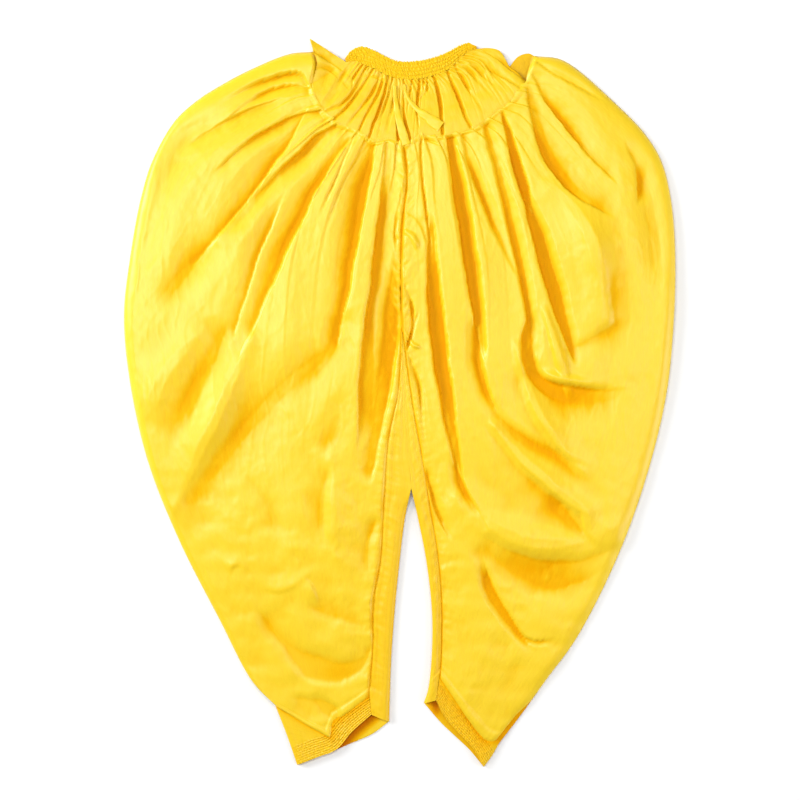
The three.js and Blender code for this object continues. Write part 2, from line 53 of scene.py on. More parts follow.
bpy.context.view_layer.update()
MM = 0.001
log = logging.getLogger("salwar")

# Heights over the ground, as the solids have them.
BACK_TOP = 1.2
FRONT_FLOOR = 3.4
WAIST_RISE = 6.4
SEAM_RISE = 13.0
LEG_RISE = 15.5
HEM_RISE = 7.4
MOUTH_RISE = 5.8
CROTCH_RISE = 8.0
SIDE_FOOT = 1.1  # where a folded side touches down
SHOULDER = 26.0  # width over which a panel rolls down to its folded edge
BAND_ROLL = 7.0  # the same at the side of the yoke and the cuff
INSIDE_SAG = 0.34  # share by which a leg sinks towards its inside seam, over INSIDE_REACH
INSIDE_REACH = 70.0
FULL_LEG = 0.35  # share of a leg's length down to where it is fullest
SEAM_GROOVE = 1.7  # how far a seam pulls the cloth down, over SEAM_REACH on either side
SEAM_REACH = 3.2
YOKE_GROOVE = 0.5  # the same at the yoke's lower seam
YOKE_REACH = 1.6

# Lengths and widths that shares are turned into.
LEG_LENGTH = 970.0
BACK_WIDTH = 340.0
YOKE_LENGTH = 84.0
YOKE_WIDTH = 300.0
WAIST_WIDTH = 190.0
STRIP_LENGTH = 540.0
STRIP_WIDTH = 28.0
TAPE_WIDTH = 12.0

SEAM_MIDDLE = 0.43  # share of the yoke's lower seam at its middle, the trousers' centre seam
FLAP_SHARE = 0.06  # share of the yoke's columns that the flap takes, left of the elastic
HIP_SHARE = 3 / 43  # share of a leg's top that runs up the hip
CENTRE_SHARE = 0.33  # of the front's inner edge
CROTCH_SHARE = 0.39  # of a strip's free edge
STRIP_SHARE = 0.96  # of a strip's sewn edge, above the cuff
STRIP_HEAD = 100  # where the strips begin to show between the legs
FLAP_TIP = 493  # above this the flap stands out past the leg
KEY_SIDE = (-0.92, 0.39)  # which way the key light lies on the plan
KEY_SLOPE = 0.34


def mix(start: Any, end: Any, share: Any) -> Any:
    """The value at a share of the way from start to end."""
    return start + (end - start) * share


def ease(value: Any, start: float = 0.0, width: float = 1.0) -> Any:
    """A share that starts and stops gently: 0 up to the start and 1 from a width past it."""
    t = np.clip((value - start) / width, 0.0, 1.0)
    return t * t * t * (t * (6 * t - 15) + 10)


def roll_off(distance: Any, width: float) -> Any:
    """Rounds a panel down towards an edge: 0 at the edge and 1 from the given width inwards."""
    return np.sqrt(np.maximum(0.0, 1 - (1 - np.minimum(1.0, distance / width)) ** 2))


def bump(distance: Any, width: float) -> Any:
    """1 on a line and 0 from the given width away, round at both ends."""
    return 1 - ease(np.abs(distance) / width)


def apart(first: Array, second: Array) -> Array:
    """How far places lie from each other on the plan."""
    return np.hypot(first[..., 0] - second[..., 0], first[..., 1] - second[..., 1])


@dataclass(frozen=True)
class Edge:
    """An edge on the plan, walked by a share of its length from 0 at the start to 1 at the end."""

    walk: Callable[[Array], Array]

    def at(self, share: Any) -> Array:
        """The plan points at these shares, which are held between 0 and 1."""
        return self.walk(np.clip(np.asarray(share, dtype=float), 0.0, 1.0))

    @classmethod
    def through(cls, *runs: Run) -> "Edge":
        """Joins smooth runs end to end, with the corners between them kept.

        Args:
            runs: lists of given plan points.

        Returns:
            The edge, walked by its length.
        """
        path = np.concatenate([cls._smooth(np.array(run, dtype=float)) for run in runs])
        share = np.concatenate([[0.0], np.cumsum(np.hypot(*np.diff(path, axis=0).T))])
        share /= share[-1]
        return cls(lambda t: np.stack([np.interp(t, share, path[:, k]) for k in (0, 1)], axis=-1))

    @staticmethod
    def _smooth(points: Array, steps: int = 24) -> Array:
        """A centripetal curve through the points.

        Args:
            points: the plan points.
            steps: how many short lines stand for each stretch.

        Returns:
            The curve's points in order.
        """
        held = np.concatenate([[2 * points[0] - points[1]], points, [2 * points[-1] - points[-2]]])
        t = np.linspace(0, 1, steps, endpoint=False)[:, None]
        curve = []
        for a, b, c, d in zip(held, held[1:], held[2:], held[3:]):
            before, here, after = (math.sqrt(float(np.hypot(*(q - p)))) for p, q in ((a, b), (b, c), (c, d)))
            leave = ((b - a) / before - (c - a) / (before + here) + (c - b) / here) * here
            reach = ((c - b) / here - (d - b) / (here + after) + (d - c) / after) * here
            turn = 2 * (b - c) + leave + reach
            curve.append(b + leave * t + (3 * (c - b) - 2 * leave - reach) * t**2 + turn * t**3)
        return np.concatenate([*curve, points[-1:]])

    @classmethod
    def straight(cls, start: Array, end: Array) -> "Edge":
        """A straight edge between two plan points."""
        return cls(lambda t: np.stack([mix(start[k], end[k], t) for k in (0, 1)], axis=-1))

    def turned(self) -> "Edge":
        """The same edge walked the other way."""
        return Edge(lambda t: self.at(1 - t))

    def between(self, start: float, end: float) -> "Edge":
        """The stretch of the edge between two shares."""
        return Edge(lambda t: self.at(mix(start, end, t)))

    def then(self, other: "Edge", share: float) -> "Edge":
        """This edge and the next one, with this one taking the given share."""
        return Edge(lambda t: np.where((t < share)[..., None], self.at(t / share), other.at((t - share) / (1 - share))))

    def share_at(self, height: float) -> float:
        """The share at which an edge that falls all the way passes a height.

        Args:
            height: the height of the plan, from the waist's side down.

        Returns:
            The share of the edge's length.
        """
        low, high = 0.0, 1.0
        for _ in range(40):
            middle = (low + high) / 2
            low, high = (middle, high) if self.at(middle)[1] > height else (low, middle)
        return low


# Plan of the seams and edges, smooth from corner to corner.
WAIST_TOP = Edge.through(
    [(-76, 483), (-67, 494), (-53, 500), (-38, 496), (-20, 487), (-4, 480), (18, 479), (43, 483), (66, 491), (85, 501),
     (97, 505), (109, 500)]
)
WAIST_LOW = Edge.through(
    [(-74, 478), (-60, 480), (-48, 474), (-32, 468), (-20, 461), (-4, 456), (15, 454), (35, 456), (55, 462), (69, 468),
     (80, 478), (90, 488), (99, 494), (109, 497)]
)
YOKE_SEAM_LEFT = Edge.through(
    [(7, 358), (-11, 367), (-36, 364), (-59, 379), (-90, 391), (-109, 410), (-119, 428), (-122, 447)]
)
YOKE_SEAM_RIGHT = Edge.through(
    [(7, 358), (29, 372), (60, 372), (101, 382), (112, 386), (136, 406), (160, 424), (178, 451)]
)
FLAP_TOP = Edge.through([(-74, 478), (-99, 494), (-125, 511)])
FLAP_SIDE = Edge.through([(-125, 511), (-120, 493), (-115, 477), (-122, 447)])
YOKE_TOP_RIGHT = Edge.through([(109, 497), (127, 498), (141, 494), (155, 472)])
YOKE_SIDE_RIGHT = Edge.through([(155, 472), (167, 463), (178, 451)])
NOTCH_TOP = Edge.through([(155, 472), (168, 487), (183, 491), (190, 487)])
HIP_RIGHT = Edge.through([(178, 451), (182, 469), (190, 487)])
CENTRE = Edge.through([(7, 358), (11, 312), (6, 263), (3, 200), (4, 102)])
CROTCH_LINE = Edge.through([(4, 102), (7, 18), (11, -52), (17, -119)])
LEFT_CUT = {
    "outer": Edge.through(
        [(-120, 493), (-153, 490), (-206, 469), (-248, 447), (-284, 424), (-315, 395), (-346, 340), (-363, 284),
         (-378, 200), (-386, 123), (-378, 32), (-353, -80), (-309, -192), (-252, -304), (-206, -391), (-174, -424)]
    ),
    "inseam": Edge.through(
        [(4, 102), (0, 18), (-14, -52), (-20, -136), (-25, -220), (-35, -276), (-36, -346), (-42, -412)]
    ),
    "inner": Edge.through([(17, -119), (8, -164), (1, -220), (-6, -290), (-11, -360), (-14, -447)]),
    "puff": Edge.through(
        [(-42, -412), (-67, -431), (-91, -448)], [(-91, -448), (-97, -470)], [(-97, -470), (-134, -449), (-174, -424)]
    ),
    "mouth": Edge.through([(-39, -437), (-66, -461), (-88, -486), (-115, -497), (-143, -508)]),
    "cuff_end": Edge.through([(-174, -424), (-158, -465), (-143, -508)]),
    "hem": Edge.through([(-14, -447), (-38, -465), (-70, -479), (-97, -491), (-143, -508)]),
    "cuff_top": -385,
}
RIGHT_CUT = {
    "outer": Edge.through(
        [(190, 487), (225, 483), (249, 469), (300, 424), (344, 379), (368, 340), (382, 284), (388, 200), (384, 88),
         (374, 4), (346, -108), (305, -220), (248, -332), (207, -388), (172, -437), (141, -477)]
    ),
    "inseam": Edge.through(
        [(4, 102), (13, 32), (22, -24), (31, -73), (41, -136), (53, -206), (59, -276), (59, -353), (57, -385)]
    ),
    "inner": Edge.through([(17, -119), (27, -164), (38, -220), (46, -290), (46, -353), (41, -402), (35, -421)]),
    "puff": Edge.through([(57, -385), (78, -416), (99, -447), (120, -472), (141, -477)]),
    "mouth": Edge.through([(52, -417), (62, -437), (82, -461), (102, -482), (119, -511)]),
    "cuff_end": Edge.through([(141, -477), (130, -496), (119, -511)]),
    "hem": Edge.through([(35, -421), (59, -449), (80, -469), (99, -487), (119, -511)]),
    "cuff_top": -372,
}

# Folds. x, y: plan of the line's start, middle and end. depth: at the same three, a ridge where negative.
# floor: half the flat bottom. right, left: width of the bank on either hand, walked from start to end.
FOLD_NAMES = ("x0", "y0", "x1", "y1", "x2", "y2", "depth0", "depth1", "depth2", "floor", "right", "left")
LEFT_FOLDS = [
    (-132, 452, -172, 456, -268, 410, 5, 8, 0, 1, 4, 15), (-128, 440, -176, 438, -229, 406, 5, 8, 2, 1, 4, 13),
    (-150, 424, -205, 410, -279, 371, 2, 6, 4, 2, 5, 18), (-258, 385, -318, 354, -326, 235, 3, 6, 0, 6, 14, 22),
    (-114, 409, -178, 386, -239, 340, 5, 8, 3, 1, 3, 15), (-139, 393, -192, 312, -279, 204, 5, 8, 6, 1, 18, 4),
    (-272, 211, -314, 165, -349, 113, 6, 5, 0, 6, 16, 16), (-91, 386, -130, 354, -192, 295, 6, 10, 6, 4, 5, 20),
    (-181, 305, -218, 267, -253, 224, 6, 6, 0, 5, 10, 12), (-153, 309, -189, 228, -228, 109, 2, 6, 4, 2, 14, 4),
    (-78, 360, -134, 267, -216, 81, 5, 10, 3, 3, 20, 4), (-69, 360, -91, 305, -115, 253, 2, 3, 0, 0.5, 5, 4),
    (-38, 363, -76, 312, -104, 228, 2, 3, 0, 0.5, 5, 5), (-36, 358, -52, 277, -85, 95, 5, 11, 8, 4, 16, 4),
    (-83, 109, -108, 53, -160, 11, 8, 5, 2, 5, 14, 18), (1, 280, -4, 240, -2, 204, 3, 6, 3, 1.5, 4, 3),
    (-18, 340, -27, 228, -45, 110, 3, 9, 9, 5, 4, 16), (-42, 116, -46, 10, -52, -94, 8, 7, 0, 9, 5, 14),
    (2, 249, -10, 102, -40, -87, 4, 9, 4, 9, 12, 6), (-83, 81, -183, -3, -293, -136, 5, 6, 3, 8, 20, 28),
    (-209, 81, -258, -24, -309, -136, -4, -6, -3, 6, 16, 14), (-248, 95, -286, 11, -328, -73, 4, 5, 0, 8, 16, 12),
    (-286, 88, -335, 25, -351, -52, -3, -5, 0, 8, 18, 18), (-85, -7, -97, -52, -116, -77, 2, 3, 0, 2.5, 14, 12),
    (-102, -108, -109, -157, -105, -209, 3, 4, 0, 3, 13, 9), (-180, -312, -107, -378, -44, -354, 5, 8, 4, 4, 10, 16),
    (-106, -293, -69, -305, -38, -314, 2, 3.5, 2, 2, 10, 15), (-38, -178, -46, -220, -38, -255, 3, 3, 0, 2, 11, 8),
    (-132, -416, -99, -427, -88, -447, 2, 6, 5, 2, 12, 8), (-94, -78, -92, -150, -92, -206, -2, -3.5, -1, 3, 12, 14),
    (-240, -240, -232, -226, -218, -228, -0.3, -1.4, -0.3, 0.5, 6, 9),
    (-196, -250, -172, -259, -142, -247, 0, -1.2, -0.8, 1, 7, 12),
    (-132, -248, -121, -264, -112, -294, -0.6, -1.6, 0, 1, 12, 6),
    (-200, -118, -176, -160, -182, -196, 2, 3, 0, 3, 12, 12),
]
RIGHT_FOLDS = [
    (35, 371, 31, 340, 43, 228, 3, 3, 5, 0.7, 5, 3), (47, 236, 57, 85, 84, -90, 5, 13, 5, 9, 6, 3),
    (14, 152, 20, 130, 19, 108, 2, 6, 3, 1.2, 5, 3), (20, 106, 15, 90, 9, 68, 3, 7, 2, 1.2, 3, 4),
    (16, 86, 23, 80, 32, 80, -2, -3, 0, 1, 4, 5), (20, 262, 35, 240, 46, 196, 1, 2.5, 2, 1, 5, 10),
    (17, 58, 28, 20, 35, -34, 2, 4, 1, 1, 5, 4), (13, 236, 21, 226, 26, 206, -2, -3, 0, 1, 5, 6),
    (71, 368, 94, 228, 113, 88, 7, 12, 9, 7, 4, 7), (109, 95, 118, 32, 144, -31, 9, 8, 2, 3, 10, 5),
    (92, 368, 116, 291, 158, 197, 3, 7, 2, 2, 6, 9), (123, 385, 161, 239, 186, 102, 4, 7, 8, 4, 6, 8),
    (183, 109, 190, 39, 246, 4, 8, 9, 5, 8, 6, 10), (150, 387, 170, 316, 181, 276, 6, 13, 9, 6, 4, 4),
    (182, 272, 208, 190, 240, 78, 10, 11, 6, 9, 4, 8), (183, 438, 214, 340, 276, 276, 4, 9, 4, 7, 4, 16),
    (195, 447, 231, 393, 287, 326, 5, 8, 3, 3, 4, 14), (193, 477, 246, 445, 307, 413, 3, 4, 0, 0.7, 4, 8),
    (329, 343, 339, 305, 332, 263, 3, 8, 0, 2.5, 5, 12), (344, 319, 358, 228, 368, 144, 3, 5, 0, 6, 14, 14),
    (218, 300, 266, 232, 290, 126, -3, -8, -3, 8, 22, 16), (288, 206, 298, 160, 304, 118, 1, 3.2, 2.5, 3, 8, 18),
    (300, 106, 282, 93, 250, 80, 2.5, 3.2, 3, 3, 8, 14), (209, 116, 223, 67, 234, 29, -3, -5, -3, 2, 7, 7),
    (197, 53, 225, 32, 298, 24, -2, -5, -1, 3, 5, 8), (188, 38, 250, 9, 330, 28, 8, 8, 1, 11, 20, 9),
    (167, 67, 199, -20, 249, -87, -3, -5.5, -4, 4, 8, 14), (144, -24, 186, -58, 244, -84, 5, 5, 3, 4, 16, 8),
    (139, -38, 197, -101, 258, -150, -4, -6, -4, 6, 8, 16), (252, -140, 264, -160, 265, -186, -3, -4, -2, 4, 6, 12),
    (196, -122, 228, -152, 260, -188, 1, 4.5, 3, 5, 16, 7), (92, -134, 180, -194, 288, -178, -3, -5, -2, 7, 16, 18),
    (130, -201, 214, -240, 298, -212, 4, 8, 3, 16, 20, 10), (114, -208, 130, -264, 171, -327, 1.5, 8, 5, 3.5, 8, 5),
    (176, -328, 196, -336, 222, -330, 4, 3, 0, 1, 6, 4), (41, -108, 55, -150, 83, -203, 5, 5, 0, 2, 5, 8),
    (82, -96, 93, -126, 116, -166, 6, 7, 1, 3, 9, 4),
]
YOKE_GATHERS = [
    (-46, 469, -69, 430, -90, 413, 2, 4, 2, 1, 5, 4), (-38, 466, -66, 424, -85, 402, 2, 4, 3, 1, 4, 5),
    (-28, 456, -38, 435, -57, 407, 2, 4, 2, 1, 5, 4), (-24, 454, -29, 438, -52, 389, 2, 4, 3, 1, 4, 4),
    (-17, 454, -29, 410, -43, 368, 3, 5, 4, 1, 4, 4), (-11, 452, -21, 417, -27, 399, 2, 3, 1, 1, 4, 4),
    (-4, 441, -8, 420, -13, 399, 1, 2, 1, 1, 5, 5), (0, 424, -1, 368, 7, 357, 2, 5, 3, 1, 4, 3),
    (7, 413, 10, 389, 18, 361, 3, 5, 4, 1, 4, 4), (7, 452, 8, 440, 8, 435, 2, 3, 0, 1, 3, 3),
    (17, 444, 15, 434, 14, 426, 2, 3, 1, 1, 3, 3), (28, 452, 27, 430, 27, 410, 3, 5, 3, 1, 4, 4),
    (34, 455, 34, 449, 34, 444, 2, 3, 1, 1, 3, 3), (39, 452, 39, 440, 38, 435, 2, 3, 1, 1, 3, 3),
    (49, 455, 55, 431, 62, 375, 3, 6, 4, 1, 4, 5), (70, 463, 84, 424, 99, 389, 3, 5, 3, 1, 4, 5),
    (83, 466, 92, 449, 102, 431, 2, 4, 1, 1, 4, 5), (88, 477, 102, 462, 113, 449, 1, 3, 1, 1, 5, 5),
    (99, 480, 112, 466, 127, 452, 1, 3, 1, 1, 5, 6), (113, 483, 127, 469, 141, 452, 1, 3, 1, 1, 5, 7),
    (112, 477, 140, 461, 168, 443, 1, 3, 2, 1, 5, 8), (128, 489, 152, 472, 173, 454, 1, 3.5, 2, 1, 4, 7),
    (-120, 494, -104, 484, -84, 470, 2, 3, 1, 1, 4, 8), (-116, 470, -100, 468, -84, 456, 1, 3, 1, 1, 4, 7),
    (-66, 475, -78, 459, -88, 444, 1, 3, 1, 1, 5, 5), (-57, 466, -62, 458, -64, 452, 2, 3, 1, 1, 4, 4),
    (-95, 480, -104, 452, -112, 424, 1, 2.5, 1, 2, 9, 9), (-83, 452, -95, 432, -105, 415, 1, 2, 1, 2, 7, 7),
]


@dataclass(frozen=True)
class Plan:
    """A panel's plan inside four edges: u across from inner to outer, v down from top to bottom."""

    top: Edge
    bottom: Edge
    inner: Edge
    outer: Edge

    def net(self, u: Array, v: Array) -> tuple[Array, Array, Array]:
        """Places every column and row on the plan.

        Args:
            u: shares across, one a column.
            v: shares down, one a row.

        Returns:
            The plan points by row and column, and the share across and down of each.
        """
        across, down = np.meshgrid(u, v)
        side, fall = across[..., None], down[..., None]
        inner_bow, outer_bow = (
            edge.at(v)[:, None] - mix(self.top.at(end), self.bottom.at(end), fall)
            for edge, end in ((self.inner, 0.0), (self.outer, 1.0))
        )
        chord = mix(self.top.at(u)[None], self.bottom.at(u)[None], fall)
        return chord + inner_bow * (1 - side) + outer_bow * side, across, down


class Grain:
    """Smooth seeded unevenness over the plan, about -1 to 1."""

    CELLS = 64

    def __init__(self, seed: int) -> None:
        """Draws a slope for each crossing of a square net."""
        angles = np.random.default_rng(seed).uniform(0, 2 * math.pi, (self.CELLS, self.CELLS))
        self.slopes = np.stack([np.cos(angles), np.sin(angles)], axis=-1)

    def at(self, x: Array, y: Array) -> Array:
        """The unevenness at places given in cells of the net.

        Args:
            x: places across.
            y: places down, of the same shape.

        Returns:
            One value a place.
        """
        column, row = np.floor(x).astype(int), np.floor(y).astype(int)
        fx, fy = x - column, y - row
        corner = lambda i, j: (
            self.slopes[(row + j) % self.CELLS, (column + i) % self.CELLS] * np.stack([fx - i, fy - j], axis=-1)
        ).sum(axis=-1)
        across, down = ease(fx), ease(fy)
        upper = mix(corner(0, 0), corner(1, 0), across)
        lower = mix(corner(0, 1), corner(1, 1), across)
        return 1.5 * mix(upper, lower, down)

    def over(self, plan: Array, wide: float, long: float) -> Array:
        """The unevenness by plan point, for cells of a width and length in millimetres."""
        return self.at(plan[..., 0] / wide, plan[..., 1] / long)

    def creases(self, x: Array, y: Array, sharpness: float = 3.0) -> Array:
        """Thin raised lines where the unevenness passes nought, 0 to 1."""
        return np.maximum(0.0, 1 - np.abs(self.at(x, y)) * sharpness) ** 2


class FoldField:
    """Listed folds that press valleys into cloth or raise ridges in it."""

    STEPS = 22
    WARPS = ((1.8, 46.0), (0.6, 11.0))  # how far a fold strays sideways from its smooth line, and over what length
    RUN_OUT = 34.0  # how far a fold runs on past each end while it dies away
    STEEP, GENTLE = 4.0, 12.0  # a bank this wide is steep, and one this wide is gentle
    SPREAD = 1.3  # share by which a gentle bank goes on beyond its darkest part
    EDGE = 0.55  # share of a steep bank's width that its drop takes
    DISH = 1.7  # how hollow a gentle bank is
    TAPER = 0.6  # share by which the flat bottom narrows towards both ends
    CREST = 0.07  # share of its depth by which the cloth stands up above a steep bank
    CREST_START = 0.7  # share of the bank's width at which the crest begins to rise
    CREST_FALL = 12.0  # width over which it comes down again

    def __init__(self, rows: Sequence[tuple], seed: int, gain: float = 1.0) -> None:
        """Names the numbers of each fold.

        Args:
            rows: the folds, one a row, in the order of FOLD_NAMES.
            seed: seed of the strays.
            gain: what the depths are multiplied by.
        """
        self.folds = [dict(zip(FOLD_NAMES, row)) for row in rows]
        for fold in self.folds:
            fold.update({name: fold[name] * gain for name in ("depth0", "depth1", "depth2")})
        self.stray = (Grain(seed), Grain(seed + 1))

    def _line(self, fold: dict[str, float]) -> tuple[Array, Array]:
        """The points of one fold's line and how far along each is.

        Args:
            fold: its named numbers.

        Returns:
            Points through its start, middle and end with a run-out at both ends, and their places from 0 at the
            start to 2 at the end, less and more in the run-outs.
        """
        start, middle, end = (np.array([fold[f"x{k}"], fold[f"y{k}"]]) for k in range(3))
        t = np.linspace(0, 1, self.STEPS + 1)[:, None]
        pull = 2 * middle - (start + end) / 2
        line = start * (1 - t) ** 2 + pull * 2 * t * (1 - t) + end * t**2
        ahead, behind = (step / np.linalg.norm(step) for step in (line[0] - line[1], line[-1] - line[-2]))
        line = np.concatenate([[line[0] + ahead * self.RUN_OUT], line, [line[-1] + behind * self.RUN_OUT]])
        return line, np.concatenate([[-1.0], 2 * t[:, 0], [3.0]])

    def depths(self, plan: Array) -> tuple[Array, Array]:
        """How deep the valleys are and how high the ridges.

        Args:
            plan: plan points by row and column.

        Returns:
            Depths of the valleys, and heights of the ridges and crests, of the same shape.
        """
        shape = plan.shape[:-1]
        flat = plan.reshape(-1, 2)
        for far, length in self.WARPS:
            flat = flat + far * np.stack([grain.over(flat, length, length) for grain in self.stray], axis=-1)
        valleys, ridges = np.zeros(len(flat)), np.zeros(len(flat))
        for fold in self.folds:
            self._press(fold, flat, valleys, ridges)
        return (valleys ** (1 / 3)).reshape(shape), (ridges ** (1 / 3)).reshape(shape)

    def _press(self, fold: dict[str, float], flat: Array, valleys: Array, ridges: Array) -> None:
        """Adds one fold to the sums of cubes, which blend where folds meet.

        Args:
            fold: its named numbers.
            flat: plan points in one row.
            valleys: sum for the valleys, changed in place.
            ridges: sum for the ridges, changed in place.
        """
        line, places = self._line(fold)
        reach = fold["floor"] + max(fold["left"], fold["right"]) * (1 + self.SPREAD) + 2.5 * self.CREST_FALL
        near = np.all((flat > line.min(axis=0) - reach) & (flat < line.max(axis=0) + reach), axis=1)
        here = flat[near]
        best = np.full(len(here), np.inf)
        along, left = np.zeros(len(here)), np.zeros(len(here), dtype=bool)
        for a, b, first, last in zip(line, line[1:], places, places[1:]):
            d = b - a
            t = np.clip(((here - a) @ d) / (d @ d), 0, 1)
            away = here - a - t[:, None] * d
            distance = np.hypot(away[:, 0], away[:, 1])
            closer = distance < best
            best = np.where(closer, distance, best)
            along = np.where(closer, mix(first, last, t), along)
            left = np.where(closer, d[0] * away[:, 1] - d[1] * away[:, 0] > 0, left)
        past = np.maximum(0.0, np.abs(along - 1) - 1)
        upper = mix(fold["depth0"], fold["depth1"], ease(along))
        depth = np.where(along < 1, upper, mix(fold["depth1"], fold["depth2"], ease(along - 1))) * (1 - ease(past))
        bank = np.where(left, fold["left"], fold["right"])
        steep = np.clip((self.GENTLE - bank) / (self.GENTLE - self.STEEP), 0, 1)
        floor = fold["floor"] * (1 - past) * (1 - self.TAPER * np.clip(along - 1, -1, 1) ** 2)
        width = bank * mix(1 + self.SPREAD, self.EDGE, steep)
        out = np.clip((best - floor) / width, 0, 1)
        pressed = depth * np.where(steep > 0.5, 1 - ease(out), (1 - out) ** self.DISH)
        beyond = np.maximum(0.0, best - floor - self.CREST_START * bank)
        crest = self.CREST * np.abs(depth) * steep * ease(beyond / bank) * np.exp(-beyond / self.CREST_FALL)
        valleys[near] += np.maximum(pressed, 0) ** 3
        ridges[near] += np.maximum(-pressed, 0) ** 3 + crest**3


class Row:
    """The row frame: metres, with the origin under the middle of the garment."""

    def __init__(self, *outer: Edge) -> None:
        """Takes the plan's middle from the two sides that reach furthest."""
        sides = np.concatenate([edge.at(np.linspace(0, 1, 400)) for edge in outer])[:, 0]
        self.middle = np.array([(sides.min() + sides.max()) / 2, 0.0, 0.0])

    def metres(self, points: Array) -> Array:
        """Turns plan places with heights, in millimetres, into the row frame."""
        return (points - self.middle) * MM


class Side(Enum):
    """The edges of a surface: along which axis of its points each lies outermost, and whether at the end."""

    TOP = (0, False)
    BOTTOM = (0, True)
    INNER = (1, False)
    OUTER = (1, True)


@dataclass
class Surface:
    """Cloth over a plan: a point for each row and column, in millimetres."""

    u: Array
    v: Array
    points: Array
    # painted shade by point: 0 on open cloth, 1 full amber, past 1 the deeper shade of an opening
    painted_shade: Optional[Array] = None

    LOWEST = 0.3  # how near the ground tucked cloth may come
    SHARE_STEP = 0.002  # by which the shares run on with each tucked line

    @classmethod
    def raised(cls, u: Array, v: Array, plan: Array, height: Array, painted_shade: Optional[Array] = None) -> "Surface":
        """Cloth at a height over each plan point."""
        return cls(u, v, np.concatenate([plan, height[..., None]], axis=-1), painted_shade)

    def at(self, u: Array, v: Array) -> Array:
        """Points of the cloth at shares across and down.

        Args:
            u: shares across.
            v: shares down, of the same shape.

        Returns:
            Points in millimetres.
        """
        column = np.clip(np.interp(u, self.u, np.arange(len(self.u))), 0, len(self.u) - 1.0001)
        row = np.clip(np.interp(v, self.v, np.arange(len(self.v))), 0, len(self.v) - 1.0001)
        i, j = column.astype(int), row.astype(int)
        across, down = (column - i)[..., None], (row - j)[..., None]
        upper = mix(self.points[j, i], self.points[j, i + 1], across)
        lower = mix(self.points[j + 1, i], self.points[j + 1, i + 1], across)
        return mix(upper, lower, down)

    def tucked(self, side: Side, out: float, drops: Sequence[float], reach: float) -> "Surface":
        """Carries the cloth on past one of its edges, down and under its neighbour.

        Args:
            side: the edge it goes on from.
            out: 1 to go on outwards, or -1 to fold back underneath.
            drops: how far below the edge each further line lies.
            reach: how far the last line is from the edge.

        Returns:
            The surface with a further line for each drop. Its shares run on past 0 or 1.
        """
        axis, at_end = side.value
        order = 1 if at_end else -1
        lines = np.moveaxis(self.points, axis, 0)[::order]
        shares = (self.v, self.u)[axis][::order]
        edge = lines[-1]
        away = (edge - lines[-3])[:, :2]
        away /= np.maximum(1e-6, np.hypot(away[:, 0], away[:, 1]))[:, None]
        further = []
        for k, drop in enumerate(drops, start=1):
            line = edge.copy()
            line[:, :2] += out * away * reach * k / len(drops)
            line[:, 2] = np.maximum(self.LOWEST, edge[:, 2] - drop)
            further.append(line)
        points = np.moveaxis(np.concatenate([lines, further])[::order], 0, axis)
        steps = shares[-1] + order * self.SHARE_STEP * np.arange(1, len(drops) + 1)
        shares = np.concatenate([shares, steps])[::order]
        return Surface(self.u, shares, points) if axis == 0 else Surface(shares, self.v, points)


def maths(operation: str, turned: bool = False) -> Callable[..., "Socket"]:
    """Makes a method that adds one Math node.

    Args:
        operation: the node's operation.
        turned: whether the method's own value comes second.

    Returns:
        The method.
    """

    def method(self: "Socket", other: Any = 0.0) -> "Socket":
        """Adds the node and gives its output."""
        values = (other, self) if turned else (self, other)
        return self.recipe.node("ShaderNodeMath", {"operation": operation}, dict(enumerate(values)))

    return method


class Socket:
    """A number in a material, whose sums are written as Python expressions."""

    def __init__(self, recipe: "Recipe", socket: bpy.types.NodeSocket) -> None:
        """Wraps an output socket of one of the recipe's nodes."""
        self.recipe = recipe
        self.socket = socket

    __add__ = __radd__ = maths("ADD")
    __sub__, __rsub__ = maths("SUBTRACT"), maths("SUBTRACT", turned=True)
    __mul__ = __rmul__ = maths("MULTIPLY")
    __abs__, wave = maths("ABSOLUTE"), maths("SINE")
    least, most = maths("MINIMUM"), maths("MAXIMUM")

    def share(self) -> "Socket":
        """The value held between 0 and 1."""
        return self.least(1.0).most(0.0)


